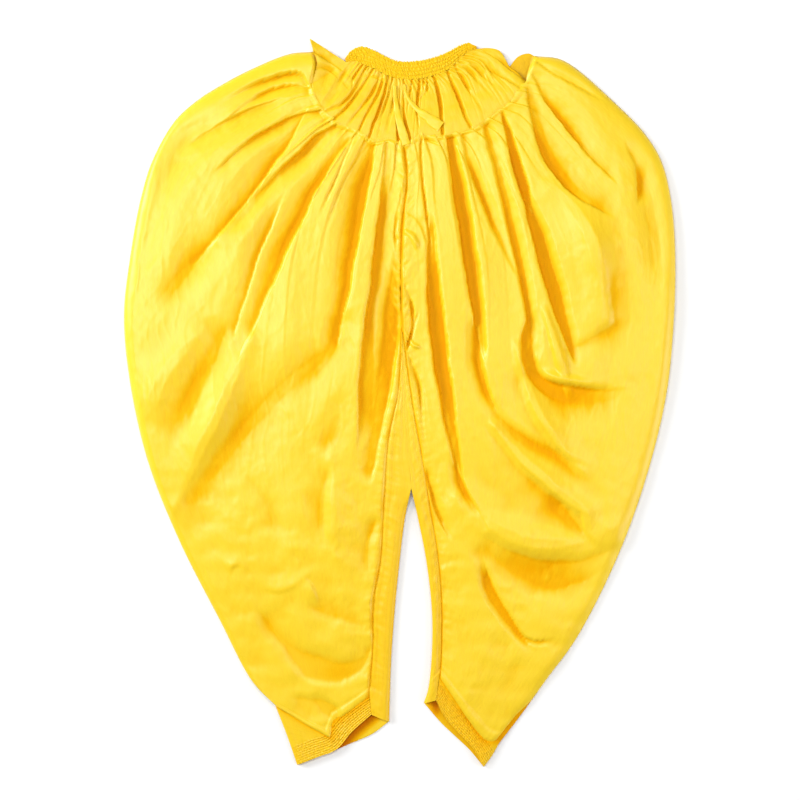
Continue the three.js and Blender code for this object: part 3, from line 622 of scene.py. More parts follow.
class Recipe:
    """A material under construction."""

    def __init__(self, name: str) -> None:
        """Makes the material with a plain shader in it.

        Args:
            name: the material's name.
        """
        self.material = bpy.data.materials.new(name)
        self.material.use_nodes = True
        self.tree = self.material.node_tree
        self.shader = next(n for n in self.tree.nodes if n.type == "BSDF_PRINCIPLED")

    def node(self, kind: str, settings: dict[str, Any], inputs: dict[Any, Any], output: Any = 0) -> Socket:
        """Adds a node.

        Args:
            kind: the node's type.
            settings: its own settings, which are set before its sockets. "stops" are a ramp's.
            inputs: values or links for its sockets, by name or number.
            output: which of its outputs is wanted.

        Returns:
            That output.
        """
        made = self.tree.nodes.new(kind)
        for name, value in settings.items():
            if name == "stops":
                for element, (place, colour) in zip(made.color_ramp.elements, value):
                    element.position, element.color = place, (*colour, 1.0)
            else:
                setattr(made, name, value)
        for name, value in inputs.items():
            self._feed(made.inputs[name], value)
        return Socket(self, made.outputs[output])

    def _feed(self, socket: bpy.types.NodeSocket, value: Any) -> None:
        """Links a socket or sets its value.

        Args:
            socket: the input.
            value: another node's output, or a number, vector or colour.
        """
        if isinstance(value, Socket):
            self.tree.links.new(value.socket, socket)
        elif isinstance(value, tuple) and socket.type == "RGBA":
            socket.default_value = (*value, 1.0)
        else:
            socket.default_value = value

    def place(self) -> Socket:
        """The point on the object in metres."""
        return self.node("ShaderNodeTexCoord", {}, {}, "Object")

    def part(self, vector: Socket, axis: str) -> Socket:
        """One coordinate of a vector."""
        return self.node("ShaderNodeSeparateXYZ", {}, {0: vector}, axis)

    def stretched(self, vector: Socket, sizes: tuple[float, float, float]) -> Socket:
        """A vector multiplied along each axis."""
        return self.node("ShaderNodeVectorMath", {"operation": "MULTIPLY"}, {0: vector, 1: sizes})

    def noise(self, vector: Socket, scale: float, detail: float = 2.0, roughness: float = 0.5) -> Socket:
        """Smooth noise, 0 to 1."""
        inputs = {"Vector": vector, "Scale": scale, "Detail": detail, "Roughness": roughness}
        return self.node("ShaderNodeTexNoise", {}, inputs)

    def blend(self, share: Any, first: Any, second: Any, way: str = "MIX") -> Socket:
        """Mixes two colours."""
        settings = {"data_type": "RGBA", "blend_type": way, "clamp_factor": True}
        return self.node("ShaderNodeMix", settings, {0: share, 6: first, 7: second}, 2)

    def relief(self, height: Socket, distance: float, strength: float, **under: Socket) -> Socket:
        """Turns a height into a normal, over another Normal if given."""
        inputs = {"Strength": strength, "Distance": distance, "Height": height, **under}
        return self.node("ShaderNodeBump", {}, inputs)

    def set(self, **sockets: Any) -> None:
        """Sets the shader's sockets, with underscores for the spaces in their names."""
        for name, value in sockets.items():
            self._feed(self.shader.inputs[name.replace("_", " ")], value)


@dataclass(frozen=True)
class Cotton:
    """Crisp plain-weave cotton, with amber painted shade mixed into its colour where the cloth folds in on itself."""

    name: str = "yellow_cotton"
    colour: Colour = (0.905, 0.60, 0.009)
    pale: Colour = (0.915, 0.64, 0.016)
    # painted shade colour, mixed into the base colour by the per-point shade attribute
    shade_amber: Colour = (0.84, 0.38, 0.0)
    inside: Colour = (0.60, 0.17, 0.0)  # painted deep shade within an opening, mixed in where the per-point shade goes past 1
    slub_dark: Colour = (0.62, 0.36, 0.0)
    slub_light: Colour = (1.0, 0.92, 0.45)
    roughness: float = 0.45
    sheen: float = 0.58  # weight of the pressed threads' gloss on open cloth
    thread: float = 0.0007  # metres between threads
    thread_rise: float = 0.00004
    crinkle: float = 0.0009  # height of the crumples

    def material(self) -> bpy.types.Material:
        """Builds the finish.

        Returns:
            The material.
        """
        mat = Recipe(self.name)
        flow, place = mat.node("ShaderNodeUVMap", {"uv_map": "threads"}, {}), mat.place()
        # The per-point attribute is painted shade: amber in folds, seams and low cloth, deeper brown past 1 in
        # openings.
        painted_shade = mat.node("ShaderNodeAttribute", {"attribute_name": "painted_shade"}, {}, "Fac")
        body = mat.blend(mat.noise(place, 9.0, 3.0), self.colour, self.pale)
        tone = mat.blend(painted_shade.share(), body, self.shade_amber)
        tone = mat.blend((painted_shade - 1.0).share(), tone, self.inside)
        slub = mat.noise(mat.stretched(flow, (900.0, 60.0, 1.0)), 1.0, 2.0)
        stops = [(0.3, self.slub_dark), (0.7, self.slub_light)]
        slub_tone = mat.node("ShaderNodeValToRGB", {"stops": stops}, {0: slub})
        tone = mat.blend(0.10, tone, slub_tone, "OVERLAY")
        turns = 2 * math.pi / self.thread
        weave = (mat.part(flow, "X") * turns).wave() * (mat.part(flow, "Y") * turns).wave()
        crumple = abs(mat.noise(mat.stretched(flow, (1.0, 0.45, 1.0)), 95.0, 3.0, 0.55) - 0.5)
        soft = mat.relief(1.0 - crumple * 2.0, self.crinkle, 0.6)
        open_cloth = 1.0 - (painted_shade * 1.6).share()
        mat.set(
            Base_Color=tone,
            Roughness=0.08 * slub + self.roughness,
            Normal=mat.relief(weave, self.thread_rise, 0.25, Normal=soft),
            Coat_Weight=open_cloth * self.sheen,
            Coat_Roughness=0.38,
            Coat_IOR=1.75,
            Specular_IOR_Level=0.04,
        )
        return mat.material


@dataclass(frozen=True)
class Thread:
    """Sewing thread, a little deeper in colour than the cloth."""

    colour: Colour = (0.84, 0.47, 0.003)
    light: Colour = (0.90, 0.54, 0.01)
    roughness: float = 0.8

    def material(self) -> bpy.types.Material:
        """Builds the finish.

        Returns:
            The material.
        """
        mat = Recipe("sewing_thread")
        twist = mat.noise(mat.place(), 1800.0, 1.0)
        tone = mat.blend(twist, self.colour, self.light)
        mat.set(Base_Color=tone, Roughness=self.roughness + 0.1 * twist, Normal=mat.relief(twist, 0.0001, 0.5))
        return mat.material


@dataclass(frozen=True)
class Backdrop:
    """The pale even surface that the garment lies on."""

    colour: Colour = (0.97, 0.97, 0.97)
    light: Colour = (0.975, 0.975, 0.975)

    def material(self) -> bpy.types.Material:
        """Builds the finish.

        Returns:
            The material.
        """
        mat = Recipe("pale_floor")
        tone = mat.blend(mat.noise(mat.place(), 3.0), self.colour, self.light)
        mat.set(Base_Color=tone, Roughness=0.9, Specular_IOR_Level=0.1)
        return mat.material


class Finish(Enum):
    """The finishes of the garment."""

    COTTON = "cotton"
    CASING = "casing"
    TAPE = "tape"
    THREAD = "thread"


class Held(Enum):
    """How a piece of cloth is held."""

    LAID = "laid"
    GATHERED = "gathered"


class Hand(Enum):
    """Which leg or end of the drawstring a piece belongs to."""

    LEFT = "left"
    RIGHT = "right"


@dataclass(frozen=True)
class Sheet:
    """The cut of what shows of a piece of cloth, in metres and square metres, and how it lies."""

    width: float
    length: float
    area: float
    rests_on: tuple[str, ...] = ()
    held: Held = Held.LAID


class Tailor:
    """Makes pieces of the row frame from millimetre surfaces."""

    def __init__(self, row: Row) -> None:
        """Keeps the frame and mixes the finishes once.

        Args:
            row: the row frame.
        """
        self.row = row
        casing = Cotton(
            "shirred_casing", (0.86, 0.55, 0.006), (0.88, 0.59, 0.01), roughness=0.66, crinkle=0.0002, sheen=0.2
        )
        self.finishes = {
            Finish.COTTON: Cotton().material(),
            Finish.CASING: casing.material(),
            Finish.TAPE: Cotton("drawstring_cotton", roughness=0.6, crinkle=0.0001, thread=0.0009).material(),
            Finish.THREAD: Thread().material(),
        }

    def mesh(self, name: str, points: Array, faces: Array, finish: Finish) -> bpy.types.Object:
        """Makes one object.

        Args:
            name: the piece's name.
            points: its points in millimetres.
            faces: four point numbers a face.
            finish: which finish it has.

        Returns:
            The object, with smooth faces, riding on the root.
        """
        data = bpy.data.meshes.new(name)
        data.vertices.add(len(points))
        data.vertices.foreach_set("co", self.row.metres(points).astype(np.float32).ravel())
        data.loops.add(faces.size)
        data.loops.foreach_set("vertex_index", faces.astype(np.int32).ravel())
        data.polygons.add(len(faces))
        data.polygons.foreach_set("loop_start", np.arange(0, faces.size, 4, dtype=np.int32))
        data.polygons.foreach_set("use_smooth", np.ones(len(faces), dtype=bool))
        data.update(calc_edges=True)
        data.validate()
        data.materials.append(self.finishes[finish])
        piece = bpy.data.objects.new(name, data)
        bpy.context.scene.collection.objects.link(piece)
        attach(piece, "root")
        return piece

    def weave(self, piece: bpy.types.Object, across: Array, along: Array) -> None:
        """Lays thread coordinates on a piece.

        Args:
            piece: the object, its points in rows.
            across: each column's place in metres.
            along: each row's place in metres.
        """
        places = np.stack(np.meshgrid(across, along), axis=-1).reshape(-1, 2)
        corners = np.empty(len(piece.data.loops), dtype=np.int32)
        piece.data.loops.foreach_get("vertex_index", corners)
        threads = piece.data.uv_layers.new(name="threads")
        threads.data.foreach_set("uv", places[corners].astype(np.float32).ravel())

    def cloth(self, name: str, surface: Surface, finish: Finish = Finish.COTTON, wall: float = 0.0) -> None:
        """Makes a sheet of cloth from a surface, with its threads' coordinates and its painted shade on it.

        Args:
            name: the piece's name: the node that it replaces, and one word more.
            surface: its points by row and column.
            finish: which finish it has.
            wall: thickness in millimetres, or nought for a single layer.
        """
        rows, columns = surface.points.shape[:2]
        index = np.arange(rows * columns).reshape(rows, columns)
        faces = np.stack([index[:-1, :-1], index[1:, :-1], index[1:, 1:], index[:-1, 1:]], axis=-1).reshape(-1, 4)
        middle = surface.points[rows // 2 : rows // 2 + 2, columns // 2 : columns // 2 + 2, :2]
        across, down = middle[0, 1] - middle[0, 0], middle[1, 0] - middle[0, 0]
        if across[0] * down[1] - across[1] * down[0] > 0:
            faces = faces[:, ::-1]
        piece = self.mesh(name, surface.points.reshape(-1, 3), faces, finish)
        steps_down = np.linalg.norm(np.diff(surface.points, axis=0), axis=-1).mean(axis=1)
        steps_across = np.linalg.norm(np.diff(surface.points, axis=1), axis=-1).mean(axis=0)
        self.weave(piece, *(np.concatenate([[0.0], np.cumsum(steps)]) * MM for steps in (steps_across, steps_down)))
        # Painted shade by point, stored for the finish to mix amber into the colour.
        painted_shade = np.zeros(rows * columns) if surface.painted_shade is None else surface.painted_shade.ravel()
        kept = piece.data.attributes.new("painted_shade", "FLOAT", "POINT")
        kept.data.foreach_set("value", painted_shade.astype(np.float32))
        if wall:
            thick = piece.modifiers.new("wall", "SOLIDIFY")
            thick.thickness, thick.offset, thick.use_rim = wall * MM, -1.0, True
        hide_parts(name.rsplit("_", 1)[0])
        area = sum(face.area for face in piece.data.polygons)
        log.info("%s: %d faces, %.4f square metres", name, len(faces), area)


def blurred(field: Array, reach: int) -> Array:
    """Smooths a field twice over.

    Args:
        field: values by row and column.
        reach: rows and columns on every side that each value is averaged with.

    Returns:
        The smoothed values.
    """
    width = 2 * reach + 1
    for axis in (0, 1, 0, 1):
        padding = [(reach + 1, reach) if k == axis else (0, 0) for k in (0, 1)]
        total = np.cumsum(np.pad(field, padding, mode="edge"), axis=axis)
        upper = np.take(total, range(width, total.shape[axis]), axis=axis)
        field = (upper - np.take(total, range(0, total.shape[axis] - width), axis=axis)) / width
    return field


def fold_shade(height: Array, near: int, near_scale: float, far: int, far_scale: float) -> Array:
    """Painted shade for folds: how far the cloth lies below its surroundings, 0 on open cloth and 1 in the deepest.

    Args:
        height: height of the cloth by row and column.
        near: rows and columns over which it is compared with its closest neighbours.
        near_scale: millimetres below these that count as 1.
        far: rows and columns over which it is compared with what lies further off.
        far_scale: millimetres below these that count as 1.

    Returns:
        The share by row and column.
    """
    close = (blurred(height, near) - height) / near_scale
    wide = (blurred(height, far) - height) / far_scale
    return np.clip(0.55 * np.clip(close, -0.3, 1) + 0.75 * np.clip(wide, -0.3, 1), 0, 1)


def turned_to_key(points: Array) -> Array:
    """How far each place of a surface faces the key light, -1 to 1, with 1 for a bank of KEY_SLOPE.

    Args:
        points: the surface's points by row and column.

    Returns:
        The share by row and column.
    """
    normal = np.cross(np.gradient(points, axis=0), np.gradient(points, axis=1))
    normal *= np.sign(normal[..., 2:])
    normal /= np.maximum(1e-9, np.linalg.norm(normal, axis=-1))[..., None]
    return np.clip((normal[..., 0] * KEY_SIDE[0] + normal[..., 1] * KEY_SIDE[1]) / KEY_SLOPE, -1, 1)


@dataclass
class Waistband:
    """The elastic casing, shirred by rows of stitching, front over back."""

    tailor: Tailor
    stitch_rows: tuple[float, ...] = (0.16, 0.38, 0.60, 0.82)
    ruffles: int = 46
    ruffle_rise: float = 1.5
    pinch: float = 0.9  # how far a row of stitching pulls the casing down
    pinch_share: float = 0.075  # over what share of its height on either side
    crowning: float = 1.2  # how much higher the casing's middle is than its edges
    side_roll: float = 12.0
    columns: int = 520
    rows: int = 44

    def __post_init__(self) -> None:
        """Lays out the band's plan."""
        ends = [Edge.straight(WAIST_TOP.at(end), WAIST_LOW.at(end)) for end in (0.0, 1.0)]
        self.plan = Plan(WAIST_TOP, WAIST_LOW, *ends)

    def build(self) -> Surface:
        """Lays the band's two layers.

        Returns:
            The front's surface, for the stitching.
        """
        u, v = np.linspace(0, 1, self.columns + 1), np.linspace(0, 1, self.rows + 1)
        plan, across, down = self.plan.net(u, v)
        uneven, fine = Grain(11), Grain(12)
        phase = across * self.ruffles + 0.8 * uneven.at(across * 20, down * 3.4)
        ruffle = (2.2 * np.abs(np.sin(np.pi * phase)) - 1.3) * (0.6 + 0.6 * uneven.at(across * 30 + 9, down * 1.2))
        ruffle += 0.9 * fine.at(across * 70, down * 3.1)
        pinch = sum(bump(down - row, self.pinch_share) for row in self.stitch_rows)
        crown = WAIST_RISE + 0.4 - self.crowning * (2 * down - 1) ** 2
        side = roll_off(2.5 + np.minimum(across, 1 - across) * WAIST_WIDTH, self.side_roll)
        puffed = self.ruffle_rise * 0.5 * ruffle * (1 - 0.4 * pinch)
        height = FRONT_FLOOR + (crown - FRONT_FLOOR + puffed - self.pinch * pinch) * side
        surface = Surface.raised(u, v, plan, height)
        surface.points[..., 1] += 0.9 * ruffle * np.clip(1 - down / 0.25, 0, 1) ** 2
        laid = surface.tucked(Side.TOP, -1.0, (0.7, 1.6, 2.4), 1.6)
        # Painted shade: more amber the lower the casing lies, in its puckers and tucked edge.
        laid.painted_shade = np.clip(0.8 * (1 - laid.points[..., 2] / (WAIST_RISE + 1.2)), 0.16, 0.6)
        self.tailor.cloth("waistband_front_casing", laid, Finish.CASING)
        u, v = np.linspace(0, 1, 161), np.linspace(0, 1, 9)
        plan, across, down = self.plan.net(u, v)
        height = 0.9 + 0.35 * np.cos(2 * np.pi * (across * self.ruffles)) * (1 - 0.5 * bump(down - 0.5, 0.3))
        self.tailor.cloth("waistband_back_casing", Surface.raised(u, v, plan, height), Finish.CASING)
        return surface


@dataclass
class Yoke:
    """The hip yoke, gathered onto the casing, with a flap at its left corner."""

    tailor: Tailor
    columns: int = 380
    flap_columns: int = 26
    rows: int = 104
    gathers: int = 40
    gather_rise: float = 2.0
    valley_gain: float = 0.95
    ridge_gain: float = 0.8
    crumple_rise: float = 0.28
    side_roll: float = 20.0
    flap_lift: tuple[float, float] = (1.0, 3.2)  # all over the flap, and further in its middle
    shade: float = 0.19
    wall: float = 0.55

    def __post_init__(self) -> None:
        """Lays out the yoke's edges."""
        tip = FLAP_SIDE.share_at(FLAP_TIP)
        self.flap_tip = FLAP_SIDE.between(0.0, tip)
        self.seam = {Hand.LEFT: YOKE_SEAM_LEFT, Hand.RIGHT: YOKE_SEAM_RIGHT}
        self.hip = {Hand.LEFT: FLAP_SIDE.between(tip, 1.0), Hand.RIGHT: HIP_RIGHT}
        lower = YOKE_SEAM_LEFT.turned().then(YOKE_SEAM_RIGHT, SEAM_MIDDLE)
        self.lower = self.hip[Hand.LEFT].then(lower, FLAP_SHARE)

    @staticmethod
    def seam_height(share: Any) -> Any:
        """Height of the lower seam at a share of it from left to right."""
        side = roll_off(BAND_ROLL + np.minimum(share, 1 - share) * YOKE_WIDTH, SHOULDER)
        return FRONT_FLOOR + (SEAM_RISE - FRONT_FLOOR) * side

    def build(self) -> Surface:
        """Lays the yoke's front over its back.

        Returns:
            The front's surface, for the drawstring, the legs and the stitching.
        """
        flap = np.linspace(0, FLAP_SHARE, self.flap_columns, endpoint=False)
        u = np.concatenate([flap, np.linspace(FLAP_SHARE, 1, self.columns + 1)])
        v = np.linspace(0, 1, self.rows + 1)
        top = FLAP_TOP.turned().then(WAIST_LOW, FLAP_SHARE)
        side_right = YOKE_TOP_RIGHT.then(YOKE_SIDE_RIGHT, 0.5)
        plan, share, down = Plan(top, self.lower, self.flap_tip, side_right).net(u, v)
        across = np.maximum(0.0, (share - FLAP_SHARE) / (1 - FLAP_SHARE))
        crown = mix(WAIST_RISE - 0.6, self.seam_height(across), ease(down))
        valleys, ridges = FoldField(YOKE_GATHERS, 31).depths(plan)
        uneven, fine, crumple = Grain(32), Grain(33), Grain(34)
        gathered = ease(across, 0.0, 0.12) * (1 - 0.6 * ease(across, 0.72, 0.28))
        phase = 1 + across * self.gathers + 0.6 * uneven.at(across * 15, down * 1.3)
        reach = (0.07 + 0.7 * np.random.default_rng(36).uniform(0, 1, self.gathers + 4) ** 3)[phase.astype(int)]
        tight = np.exp(-down / reach) * ease(down, 0.0, 0.02)
        shirr = 2.4 * np.abs(np.sin(np.pi * phase)) - 1.5 + 0.5 * fine.at(across * 60, down * 2.2)
        long_folds = uneven.at(across * 26, 7 + down * 0.9)
        height = crown - self.valley_gain * valleys * (1 - ease(down, 0.93, 0.07)) + self.ridge_gain * ridges
        height += gathered * self.gather_rise * (0.6 * shirr * tight + 0.35 * long_folds * (1 - down**3))
        height += self.crumple_rise * crumple.over(plan, 9, 11)
        height -= YOKE_GROOVE * bump((1 - down) * YOKE_LENGTH, YOKE_REACH)
        height = FRONT_FLOOR + (height - FRONT_FLOOR) * roll_off(2.0 + (1 - across) * YOKE_WIDTH, self.side_roll)
        all_over, in_middle = self.flap_lift
        lifted = np.clip(1 - share / FLAP_SHARE, 0, 1) * (all_over + in_middle * bump(down - 0.35, 0.6))
        height = np.maximum(FRONT_FLOOR - 1.0, height + lifted)
        self.surface = Surface.raised(u, v, plan, height)
        # Painted shade: a base amount over the whole front and more in its folds, less on banks facing the key light.
        lit = 1 - 0.5 * np.maximum(0, turned_to_key(self.surface.points))
        self.surface.painted_shade = self.shade + 1.1 * fold_shade(height, 4, 3.0, 14, 5.0) * lit
        self.tailor.cloth("yoke_front_cloth", self.surface, wall=self.wall)
        self._back()
        return self.surface

    def _back(self) -> None:
        """Lays the yoke's back flat, which shows in the notch at its right side."""
        top = FLAP_TOP.turned().then(WAIST_LOW.then(YOKE_TOP_RIGHT, 0.8), FLAP_SHARE).then(NOTCH_TOP, 0.86)
        bottom = self.lower.then(HIP_RIGHT, 0.9)
        u, v = np.linspace(0, 1, 141), np.linspace(0, 1, 31)
        outer = Edge.straight(top.at(1.0), bottom.at(1.0) + np.array([0.0, -0.5]))
        plan, _, _ = Plan(top, bottom, self.flap_tip, outer).net(u, v)
        height = BACK_TOP - 0.5 + 0.45 * Grain(35).over(plan, 14, 60)
        # Painted shade, even over the back, which shows only in the notch.
        self.tailor.cloth("yoke_back_cloth", Surface.raised(u, v, plan, height, np.full(height.shape, 0.5)))


@dataclass
class Leg:
    """One wide leg: a pleated front over a flat back, an inside strip and a stitched cuff."""

    tailor: Tailor
    yoke: Yoke
    hand: Hand
    folds: Sequence[tuple]
    seed: int
    outer: Edge
    inseam: Edge
    inner: Edge
    puff: Edge
    mouth: Edge
    cuff_end: Edge
    hem: Edge
    cuff_top: float  # height of the plan where the back's cuff seam meets the inside edge
    columns: int = 250
    rows: int = 380
    mouth_shade_share: float = 0.62  # share of the mouth, from its inner corner, over which the cuff's back gets the full painted shade of an opening
    sewn_hem: float = 25.0  # width of cuff over which its parallel rows of stitching run
    row_gap: float = 3.2
    fold_gain: float = 0.84
    ridge_gain: float = 1.4
    pleats: int = 13
    pleat_rise: float = 3.4
    lap: float = 8.5  # how far at most a pleat's head goes up over the yoke
    lap_rows: int = 4
    lap_lift: float = 0.6  # how far it lies above the yoke there
    gather_rise: float = 0.9
    gather_fade: float = 150.0  # how far down from the yoke the gathers die away
    flow_rise: float = 2.4  # the long waves down the leg
    broad_rise: float = 2.6
    crease_rise: float = 0.3
    low_rise: float = 1.1  # the slack cloth of the lower leg
    patch_rise: float = 0.9  # and where it is more crumpled
    crumple_rise: float = 0.14
    crumple_more: float = 0.24  # further in crumpled patches and by the seams
    pucker_rise: float = 1.3
    pucker_reach: float = 9.0
    zigzag_rise: float = 1.8  # the puckers of the centre seam
    cuff_puff: float = 1.1  # how far the cloth stands up above the cuff
    cuff_groove: float = 0.8
    side_turn: float = 0.0  # width by which the cuff's side shows beside the front, above the hem
    cuff_shade: float = 0.14
    fold_shade_reach: float = 0.32  # share across at which the painted shade in the folds begins to fade

    def __post_init__(self) -> None:
        """Lays out the leg's edges that are made of several."""
        hip = self.yoke.hip[self.hand]
        hip = hip.turned() if self.hand is Hand.LEFT else hip
        self.top = self.yoke.seam[self.hand].then(hip, 1 - HIP_SHARE)
        self.front_inner = CENTRE.then(self.inseam, CENTRE_SHARE)
        self.mouth_side = Edge.straight(self.puff.at(0.0), self.mouth.at(0.0))
        self.cuff_corner = self.inner.share_at(self.cuff_top)
        self.grain = [Grain(self.seed + 10 + k) for k in range(8)]

    def _cloth(self, piece: str, surface: Surface, wall: float = 0.0) -> None:
        """Makes one of this leg's pieces of cloth."""
        self.tailor.cloth(f"{self.hand.value}_{piece}_cloth", surface, wall=wall)

    def crown(self, v: Any) -> Any:
        """Height of the leg before its folds, by share down."""
        upper = mix(SEAM_RISE, LEG_RISE, ease(v / FULL_LEG))
        return np.where(v < FULL_LEG, upper, mix(LEG_RISE, HEM_RISE, ease(v, FULL_LEG, 1 - FULL_LEG)))

    def side_shown(self, v: Any) -> Any:
        """Width of the cuff's side that shows beside the front, by share down."""
        return self.side_turn * ease(v, 0.925, 0.04)

    def _seam_share(self, u: Any) -> Any:
        """Where on the yoke's lower seam a share across the leg's top lies."""
        along = np.minimum(1.0, u / (1 - HIP_SHARE))
        return SEAM_MIDDLE * (1 - along) if self.hand is Hand.LEFT else mix(SEAM_MIDDLE, 1.0, along)

    def front_height(self, u: Array, v: Array, plan: Array) -> tuple[Array, Array]:
        """Height of the leg's front.

        Args:
            u: shares across, by row and column.
            v: shares down, by row and column.
            plan: the plan points.

        Returns:
            Heights in millimetres and the depth of the listed valleys.
        """
        grain = self.grain
        to_outer, to_inner = (apart(plan, edge.at(v[:, 0])[:, None]) for edge in (self.outer, self.front_inner))
        rolled = np.maximum(0.05, to_outer + 0.4 - self.side_shown(v))
        roll = roll_off(rolled, mix(SHOULDER, 9.0, ease(v, 0.9, 0.1)))
        inside = ease(1 - to_inner / INSIDE_REACH) * ease(v, CENTRE_SHARE, CENTRE_SHARE)
        valleys, ridges = FoldField(self.folds, self.seed, self.fold_gain).depths(plan)
        from_yoke = v * LEG_LENGTH
        gathers = 0.5 * grain[0].at(u * 24, from_yoke / 170)
        gathers = gathers + 0.35 * grain[1].at(u * 50, 3 + from_yoke / 110)
        flow = grain[2].at(u * 9, from_yoke / 260) * (1 - 0.85 * ease(v, 0.35, 0.3))
        creased = grain[4].creases(u * 15 + 0.5 * grain[2].over(plan, 50, 70), from_yoke / 105, 5.0)
        crumple = grain[5].over(plan, 12, 19) + 0.55 * grain[6].over(plan, 6, 9)
        fade = np.exp(-from_yoke / self.gather_fade)
        relief = self.gather_rise * gathers * fade + self.flow_rise * flow * (1 - 0.5 * fade)
        relief += self.broad_rise * grain[3].over(plan, 85, 150) * ease(v, 0.0, 0.3)
        relief += self.crease_rise * creased * (1 - fade) * (1 - 0.8 * ease(v, 0.45, 0.2))
        low = ease(v, 0.5, 0.25)
        patch = np.clip(0.3 + grain[0].over(plan, 48, 60), 0, 1)
        relief += low * self.low_rise * grain[1].over(plan, 36, 27)
        relief += low * self.patch_rise * patch**2 * grain[3].over(plan, 17, 15)
        by_seams = np.exp(-from_yoke / 35) + np.exp(-to_inner / 22)
        relief += (self.crumple_rise + self.crumple_more * patch + self.crumple_more * by_seams) * crumple
        relief += self._knife_pleats(u, from_yoke) * (1 - ease(valleys / 5))
        relief += self._puckers(v, to_inner)
        settle = ease(from_yoke / 5)
        body = (self.crown(v) - FRONT_FLOOR) * (1 - INSIDE_SAG * inside) - valleys * settle
        body += self.ridge_gain * ridges * settle
        height = FRONT_FLOOR + np.maximum(0.6, body + relief * settle)
        height = SIDE_FOOT + (height - SIDE_FOOT) * roll
        return self._meet_neighbours(u, v, height, to_inner), valleys * settle

    def _pleat(self, u: Array, from_yoke: Array) -> tuple[Array, Array]:
        """Which pleat a place is on.

        Args:
            u: shares across.
            from_yoke: millimetres down from the seam.

        Returns:
            The pleat's number, and the share across it.
        """
        phase = 1 + u * self.pleats + 0.3 * self.grain[5].at(u * 9, from_yoke / 240)
        number = np.floor(phase).astype(int)
        return number, phase - number

    def _knife_pleats(self, u: Array, from_yoke: Array) -> Array:
        """Flat-topped pleats that the yoke's seam holds, each with one sharp edge.

        Args:
            u: shares across.
            from_yoke: millimetres down from the seam.

        Returns:
            Their heights.
        """
        draw = np.random.default_rng(self.seed + 40)
        rise = draw.uniform(0.35, 1.25, self.pleats + 3)
        reach = draw.uniform(70, 240, self.pleats + 3)
        number, share = self._pleat(u, from_yoke)
        share = np.where((self.hand is Hand.RIGHT) | (u > 0.62), share, 1 - share)
        top = np.where(share < 0.88, share / 0.88, 1 - ease(share, 0.88, 0.12))
        reach = reach[number] * (1 - 0.75 * ease(u, 0.4, 0.35))
        return self.pleat_rise * rise[number] * np.exp(-from_yoke / reach) * (top - 0.5)

    def _lap(self, u: Array, points: Array) -> None:
        """Carries the pleats' heads a little way up over the yoke's edge, each as far as its own fold goes.

        Args:
            u: shares across.
            points: the front's points by row and column, changed in place.
        """
        far = np.random.default_rng(self.seed + 41).uniform(0.4, self.lap, self.pleats + 3)
        number, share = self._pleat(u, np.zeros_like(u))
        share = share if self.hand is Hand.RIGHT else 1 - share
        reach = far[number] * np.where(share < 0.9, 0.25 + 0.75 * share / 0.9, 10 * (1 - share))
        reach *= ease((1 - HIP_SHARE - u) / 0.03)
        column = mix(FLAP_SHARE, 1.0, self._seam_share(u))
        under = self.yoke.surface.at(column, 1 - (reach + 1.0) / YOKE_LENGTH)[:, 2]
        ahead = points[0, :, :2] - points[self.lap_rows, :, :2]
        ahead /= np.hypot(ahead[:, 0], ahead[:, 1])[:, None]
        rest = points[self.lap_rows, :, 2].copy()
        for k in range(self.lap_rows):
            left = 1 - k / self.lap_rows
            points[k, :, :2] += ahead * (reach * left)[:, None]
            over = mix(rest, under + self.lap_lift, left) + 0.8 * math.sin(math.pi * left)
            points[k, :, 2] = mix(points[k, :, 2], over, ease(reach / 1.2))

    def _puckers(self, v: Array, to_inner: Array) -> Array:
        """Short waves that a sewn inside seam pulls into the cloth beside it.

        Args:
            v: shares down.
            to_inner: distance from the inside seam.

        Returns:
            Their heights.
        """
        along = v * LEG_LENGTH
        waves = self.grain[7].at(along / 9 + 0.25 * to_inner / 9, to_inner / 30)
        zigzag = self.grain[6].at(along / 15 + to_inner / 11, 3 + to_inner / 18)
        by_centre = 1 - ease(v, CENTRE_SHARE, 0.05)
        near = np.exp(-to_inner / self.pucker_reach)
        return near * (self.pucker_rise * waves + self.zigzag_rise * zigzag * by_centre)

    def _meet_neighbours(self, u: Array, v: Array, height: Array, to_inner: Array) -> Array:
        """Brings the front down to the seams it shares and over the cuff.

        Args:
            u: shares across.
            v: shares down.
            height: heights so far.
            to_inner: distance from the inside seam.

        Returns:
            The heights with the seams in them.
        """
        up_hip = np.clip((u - (1 - HIP_SHARE)) / HIP_SHARE, 0, 1)
        hip = mix(self.yoke.seam_height(0.0), FRONT_FLOOR + 1.6, ease(up_hip))
        seam = np.where(up_hip > 0, hip, self.yoke.seam_height(self._seam_share(u)))
        height = mix(seam, height, ease(v, 0.0, 0.005))
        sag = INSIDE_SAG * ease(v, CENTRE_SHARE, CENTRE_SHARE)
        sewn = FRONT_FLOOR + (self.crown(v) - 1.6 - FRONT_FLOOR) * (1 - sag)
        height = mix(np.minimum(sewn, height + 2.0), height, ease(to_inner / 7.0))
        height = height - YOKE_GROOVE * bump(v * LEG_LENGTH, YOKE_REACH) - SEAM_GROOVE * bump(to_inner, SEAM_REACH)
        to_cuff = (1 - v) * LEG_LENGTH
        puff = self.cuff_puff * bump(to_cuff - 9, 15)
        puff = puff - self.cuff_groove * bump(to_cuff - 17, 5.0) * ease((0.97 - u) / 0.1)
        return mix(FRONT_FLOOR + 1.2, height + puff, roll_off(to_cuff + 0.3, 4.0))

    def build(self) -> dict[str, Surface]:
        """Lays every piece of the leg.

        Returns:
            The surfaces that carry stitching, by name.
        """
        front = self._front()
        self._back()
        surfaces = {"front": front, "strip": self._strip(front), "cuff": self._cuff()}
        self._cuff_back()
        return surfaces

